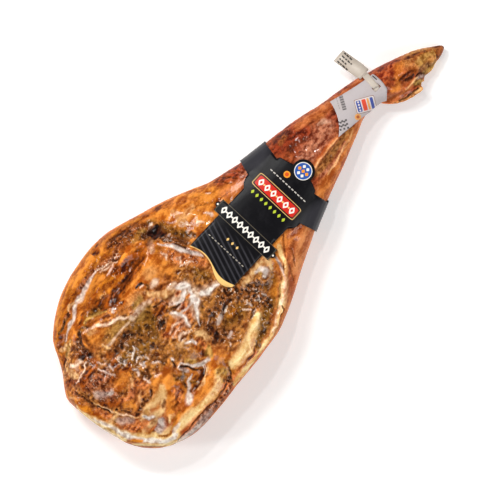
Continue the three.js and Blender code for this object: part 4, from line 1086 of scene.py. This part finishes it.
def coatedCardMaterial():
    # black offset ink under satin varnish: deep, with a broad soft sheen, partly painted grey on the wings,
    # and faint scuffs
    material, shader = startMaterial("varnishedBlackCard")
    tree = material.node_tree
    where = addNode(tree, "TexCoord").outputs["Object"]
    local = addNode(tree, "Mapping", {"Vector": where, "Location": fromHam(*card["place"]),
                                      "Rotation": (0, 0, card["turn"]), "Scale": (mm, mm, mm)},
                    vector_type="TEXTURE").outputs[0]
    along, across, up = addNode(tree, "SeparateXYZ", {0: local}).outputs
    # fine curved furrows over the free end; a wave texture repeats every 0.314 / scale
    furrow = addNode(tree, "Mapping", {"Vector": local, "Rotation": (0, 0, card["furrowTurn"])}).outputs[0]
    furrow = addNode(tree, "TexWave", {"Vector": furrow, "Scale": 0.314 / card["furrowStep"],
                                       "Distortion": 1.6, "Detail": 1, "Detail Scale": 0.02}).outputs["Fac"]
    furrow = addNode(tree, "MapRange", {"Value": furrow, "From Min": 0.55, "From Max": 0.95}).outputs[0]
    none, full = card["furrowsFrom"]
    fade = addNode(tree, "MapRange", {"Value": along, "From Min": none, "From Max": full}).outputs[0]
    furrow = addNode(tree, "Math", {0: furrow, 1: fade}, operation="MULTIPLY").outputs[0]
    colour = addNode(tree, "Mix", {0: furrow, 6: linear(card["black"]), 7: linear(card["grey"])},
                     data_type="RGBA").outputs[2]
    # gold border along the wavy free end
    length, height = card["wave"]
    wave = addNode(tree, "Math", {0: across, 1: 2 * math.pi / length, 2: 2 * math.pi / length},
                   operation="MULTIPLY_ADD").outputs[0]
    wave = addNode(tree, "Math", {0: wave}, operation="SINE").outputs[0]
    border = addNode(tree, "Math", {0: wave, 1: height, 2: card["goldBelow"]},
                     operation="MULTIPLY_ADD").outputs[0]
    border = addNode(tree, "Math", {0: border, 1: along}, operation="SUBTRACT").outputs[0]
    border = addNode(tree, "MapRange", {"Value": border, "From Min": -0.2, "From Max": 0.2}).outputs[0]
    colour = addNode(tree, "Mix", {0: border, 6: colour, 7: linear(card["gold"])},
                     data_type="RGBA").outputs[2]
    # painted sheen: soft grey fields over the sloping wings
    for side in card["paintedWingSheen"]:
        colour = stamp(tree, where, colour, card, "grey", (40, side), (26, 17), oval, edge=6, strength=0.9)
    # only the front is printed: behind the shank the pattern is looked up a metre to the side of it
    behind = addNode(tree, "Math", {0: up, 1: card["frontFrom"]}, operation="LESS_THAN").outputs[0]
    aside = addNode(tree, "CombineXYZ", {0: behind}).outputs[0]
    front = addNode(tree, "VectorMath", {0: where, 1: aside}).outputs[0]
    for shape in cardPrint:
        colour = stamp(tree, front, colour, card, *shape)
    scuff = addNode(tree, "TexNoise", {"Vector": where, "Scale": 1 / (14 * mm), "Detail": 6,
                                       "Roughness": 0.7}).outputs["Fac"]
    scuff = addNode(tree, "MapRange", {"Value": scuff, "From Min": 0.5, "From Max": 0.8,
                                       "To Max": 0.06}).outputs[0]
    colour = addNode(tree, "Mix", {0: scuff, 6: colour, 7: linear(card["scuffed"])},
                     data_type="RGBA").outputs[2]
    fibre = addNode(tree, "TexNoise", {"Vector": where, "Scale": 1 / (1.2 * mm), "Detail": 3}).outputs["Fac"]
    bump = addNode(tree, "Bump", {"Height": fibre, "Strength": 0.15, "Distance": 0.1 * mm}).outputs[0]
    smooth, dull = card["roughness"]
    rough = addNode(tree, "MapRange", {"Value": fibre, "To Min": smooth, "To Max": dull}).outputs[0]
    fillSockets(shader, {"Base Color": colour, "Roughness": rough, "Normal": bump,
                         "IOR": 1.5, "Specular IOR Level": 0.13})
    return material


thinPiece("sleeve_card", "cardSleeve", card, coatedCardMaterial())
print("card sleeve printed")

# Paper cuff: uncoated white label paper, with plain blocks, stripes and fields of colour
cuff = {
    "place": (525.0, 2.0),
    "turn": math.radians(-33),
    "cuts": 2,
    "ripple": (0.12, 14, 311),
    "white": "#bcb3b4", "stained": "#ad9c93", "pale": "#dcd4d0", "dark": "#55504f", "grey": "#938c89",
    "blue": "#3d4f9e", "red": "#e0492a", "orange": "#e8a35a", "rust": "#b4582a", "brown": "#8a5345",
    "nearBlack": "#2b2422",
}

# a small check of dark squares, five columns of two or three in turn
columns = range(5)
cuffPrint = [("dark", (-25.5 + 2.5 * k, -20.5 + 1.25 * (k % 2)), (1.25, 1.25), 10, (2 + (k + 1) % 2, 5))
             for k in columns]
cuffPrint += [
    # rows of short strokes
    ("dark", (-13.5, 8), (2.6, 0.8), block, (7, 3.2)),
    ("dark", (-13.5, 8), (2.6, 0.3), block, (6, 3.2)),
    ("grey", (-19.5, 8), (0.5, 1.1), block, (5, 3.2)),
    # orange disc
    ("orange", (0.5, -15.5), (4.2, 4.2), oval),
    ("rust", (0.5, -15.5), (2.0, 2.0), oval),
    # framed field with upright stripes and a few lozenges
    ("brown", (14, -3), (13.4, 9.4), squareBlock),
    ("pale", (14, -3), (12.8, 8.8), squareBlock),
    ("blue", (5.6, -3), (3.0, 7.4)),
    ("red", (12.8, -3), (2.8, 7.4)),
    ("orange", (18.2, -3), (1.4, 7.4)),
    ("blue", (23.0, -3), (2.0, 7.4)),
    ("pale", (5.6, -3), (1.4, 1.4), lozenge, (4, 3.6)),
    # painted shadow: a dark line beside the strap
    ("nearBlack", (34.5, 27.0), (4.0, 0.8), 6, None, 121),
]


def labelPaperMaterial():
    # uncoated paper: matt, slightly fibrous, faintly stained where it touches the oily rind
    material, shader = startMaterial("uncoatedLabelPaper")
    tree = material.node_tree
    where = addNode(tree, "TexCoord").outputs["Object"]
    stain = addNode(tree, "TexNoise", {"Vector": where, "Scale": 1 / (18 * mm), "Detail": 5,
                                       "Roughness": 0.6}).outputs["Fac"]
    stain = addNode(tree, "MapRange", {"Value": stain, "From Min": 0.45, "From Max": 0.8,
                                       "To Max": 0.5}).outputs[0]
    colour = addNode(tree, "Mix", {0: stain, 6: linear(cuff["white"]), 7: linear(cuff["stained"])},
                     data_type="RGBA").outputs[2]
    for shape in cuffPrint:
        colour = stamp(tree, where, colour, cuff, *shape)
    crease = addNode(tree, "TexNoise", {"Vector": where, "Scale": 1 / (9 * mm), "Detail": 3,
                                        "Distortion": 0.8}).outputs["Fac"]
    fibre = addNode(tree, "TexNoise", {"Vector": where, "Scale": 1 / (1.0 * mm), "Detail": 3}).outputs["Fac"]
    height = addNode(tree, "Math", {0: crease, 1: 6.0, 2: fibre}, operation="MULTIPLY_ADD").outputs[0]
    bump = addNode(tree, "Bump", {"Height": height, "Strength": 0.4, "Distance": 0.15 * mm}).outputs[0]
    fillSockets(shader, {"Base Color": colour, "Roughness": 0.7, "Normal": bump, "IOR": 1.5})
    return material


thinPiece("paper_cuff", "paperCuff", cuff, labelPaperMaterial())
print("paper cuff printed")

# Strap tag: one moulded strip of milky polyethylene that ends in a flag
strap = {
    "place": (561.0, 48.0),
    "turn": 0.0,
    "cuts": 1,
    "ripple": (0.05, 9, 321),
    "barsFrom": 8.0,       # mm across, where each row of bars starts
    "barGap": 0.6,
    # the fold line and the strip beside the flag's head are painted shade
    "milk": "#cabfb3", "cloud": "#bcae9f", "ink": "#3a332d", "paintedFoldShade": "#9c8d80", "paintedShadowStrip": "#b5a799",
    # rows of short bars on the flag: place along, and the half lengths of the bars in mm
    "bars": [(-7.6, (2.2, 1.4, 2.6, 1.8)), (-3.2, (1.4, 2.4, 1.6)), (1.4, (2.6, 1.6, 2.2, 1.4)),
             (6.0, (1.6, 2.2, 2.4))],
}


def strapPrint():
    # the bars, each a little shorter than its place, then painted shade at the fold and by the flag's head
    shapes = []
    for x, lengths in strap["bars"]:
        y = strap["barsFrom"]
        for length in lengths:
            y -= length
            shapes.append(dict(ink="ink", centre=(x, y), half=(1.0, length * 0.9), turn=-6))
            y -= length + strap["barGap"]
    shapes.append(dict(ink="paintedFoldShade", centre=(1, -28.6), half=(9.5, 0.4), strength=0.8))
    shapes.append(dict(ink="paintedShadowStrip", centre=(-7.4, -20), half=(0.4, 8), strength=0.7))
    return shapes


def milkyPlasticMaterial():
    # moulded polyethylene: milky, soft-edged light, satin
    material, shader = startMaterial("milkyPolyethylene")
    tree = material.node_tree
    where = addNode(tree, "TexCoord").outputs["Object"]
    cloud = addNode(tree, "TexNoise", {"Vector": where, "Scale": 1 / (6 * mm), "Detail": 4}).outputs["Fac"]
    colour = addNode(tree, "Mix", {0: cloud, 6: linear(strap["milk"]), 7: linear(strap["cloud"])},
                     data_type="RGBA").outputs[2]
    for shape in strapPrint():
        colour = stamp(tree, where, colour, strap, **shape)
    mould = addNode(tree, "TexNoise", {"Vector": where, "Scale": 1 / (1.5 * mm), "Detail": 2}).outputs["Fac"]
    bump = addNode(tree, "Bump", {"Height": mould, "Strength": 0.2, "Distance": 0.1 * mm}).outputs[0]
    fillSockets(shader, {"Base Color": colour, "Roughness": 0.45, "Normal": bump, "IOR": 1.51,
                         "Subsurface Weight": 0.15, "Subsurface Radius": (0.002, 0.0018, 0.0015),
                         "Subsurface Scale": 1.0})
    return material


thinPiece("strap_tag", "strapTag", strap, milkyPlasticMaterial())
print("strap tag finished")
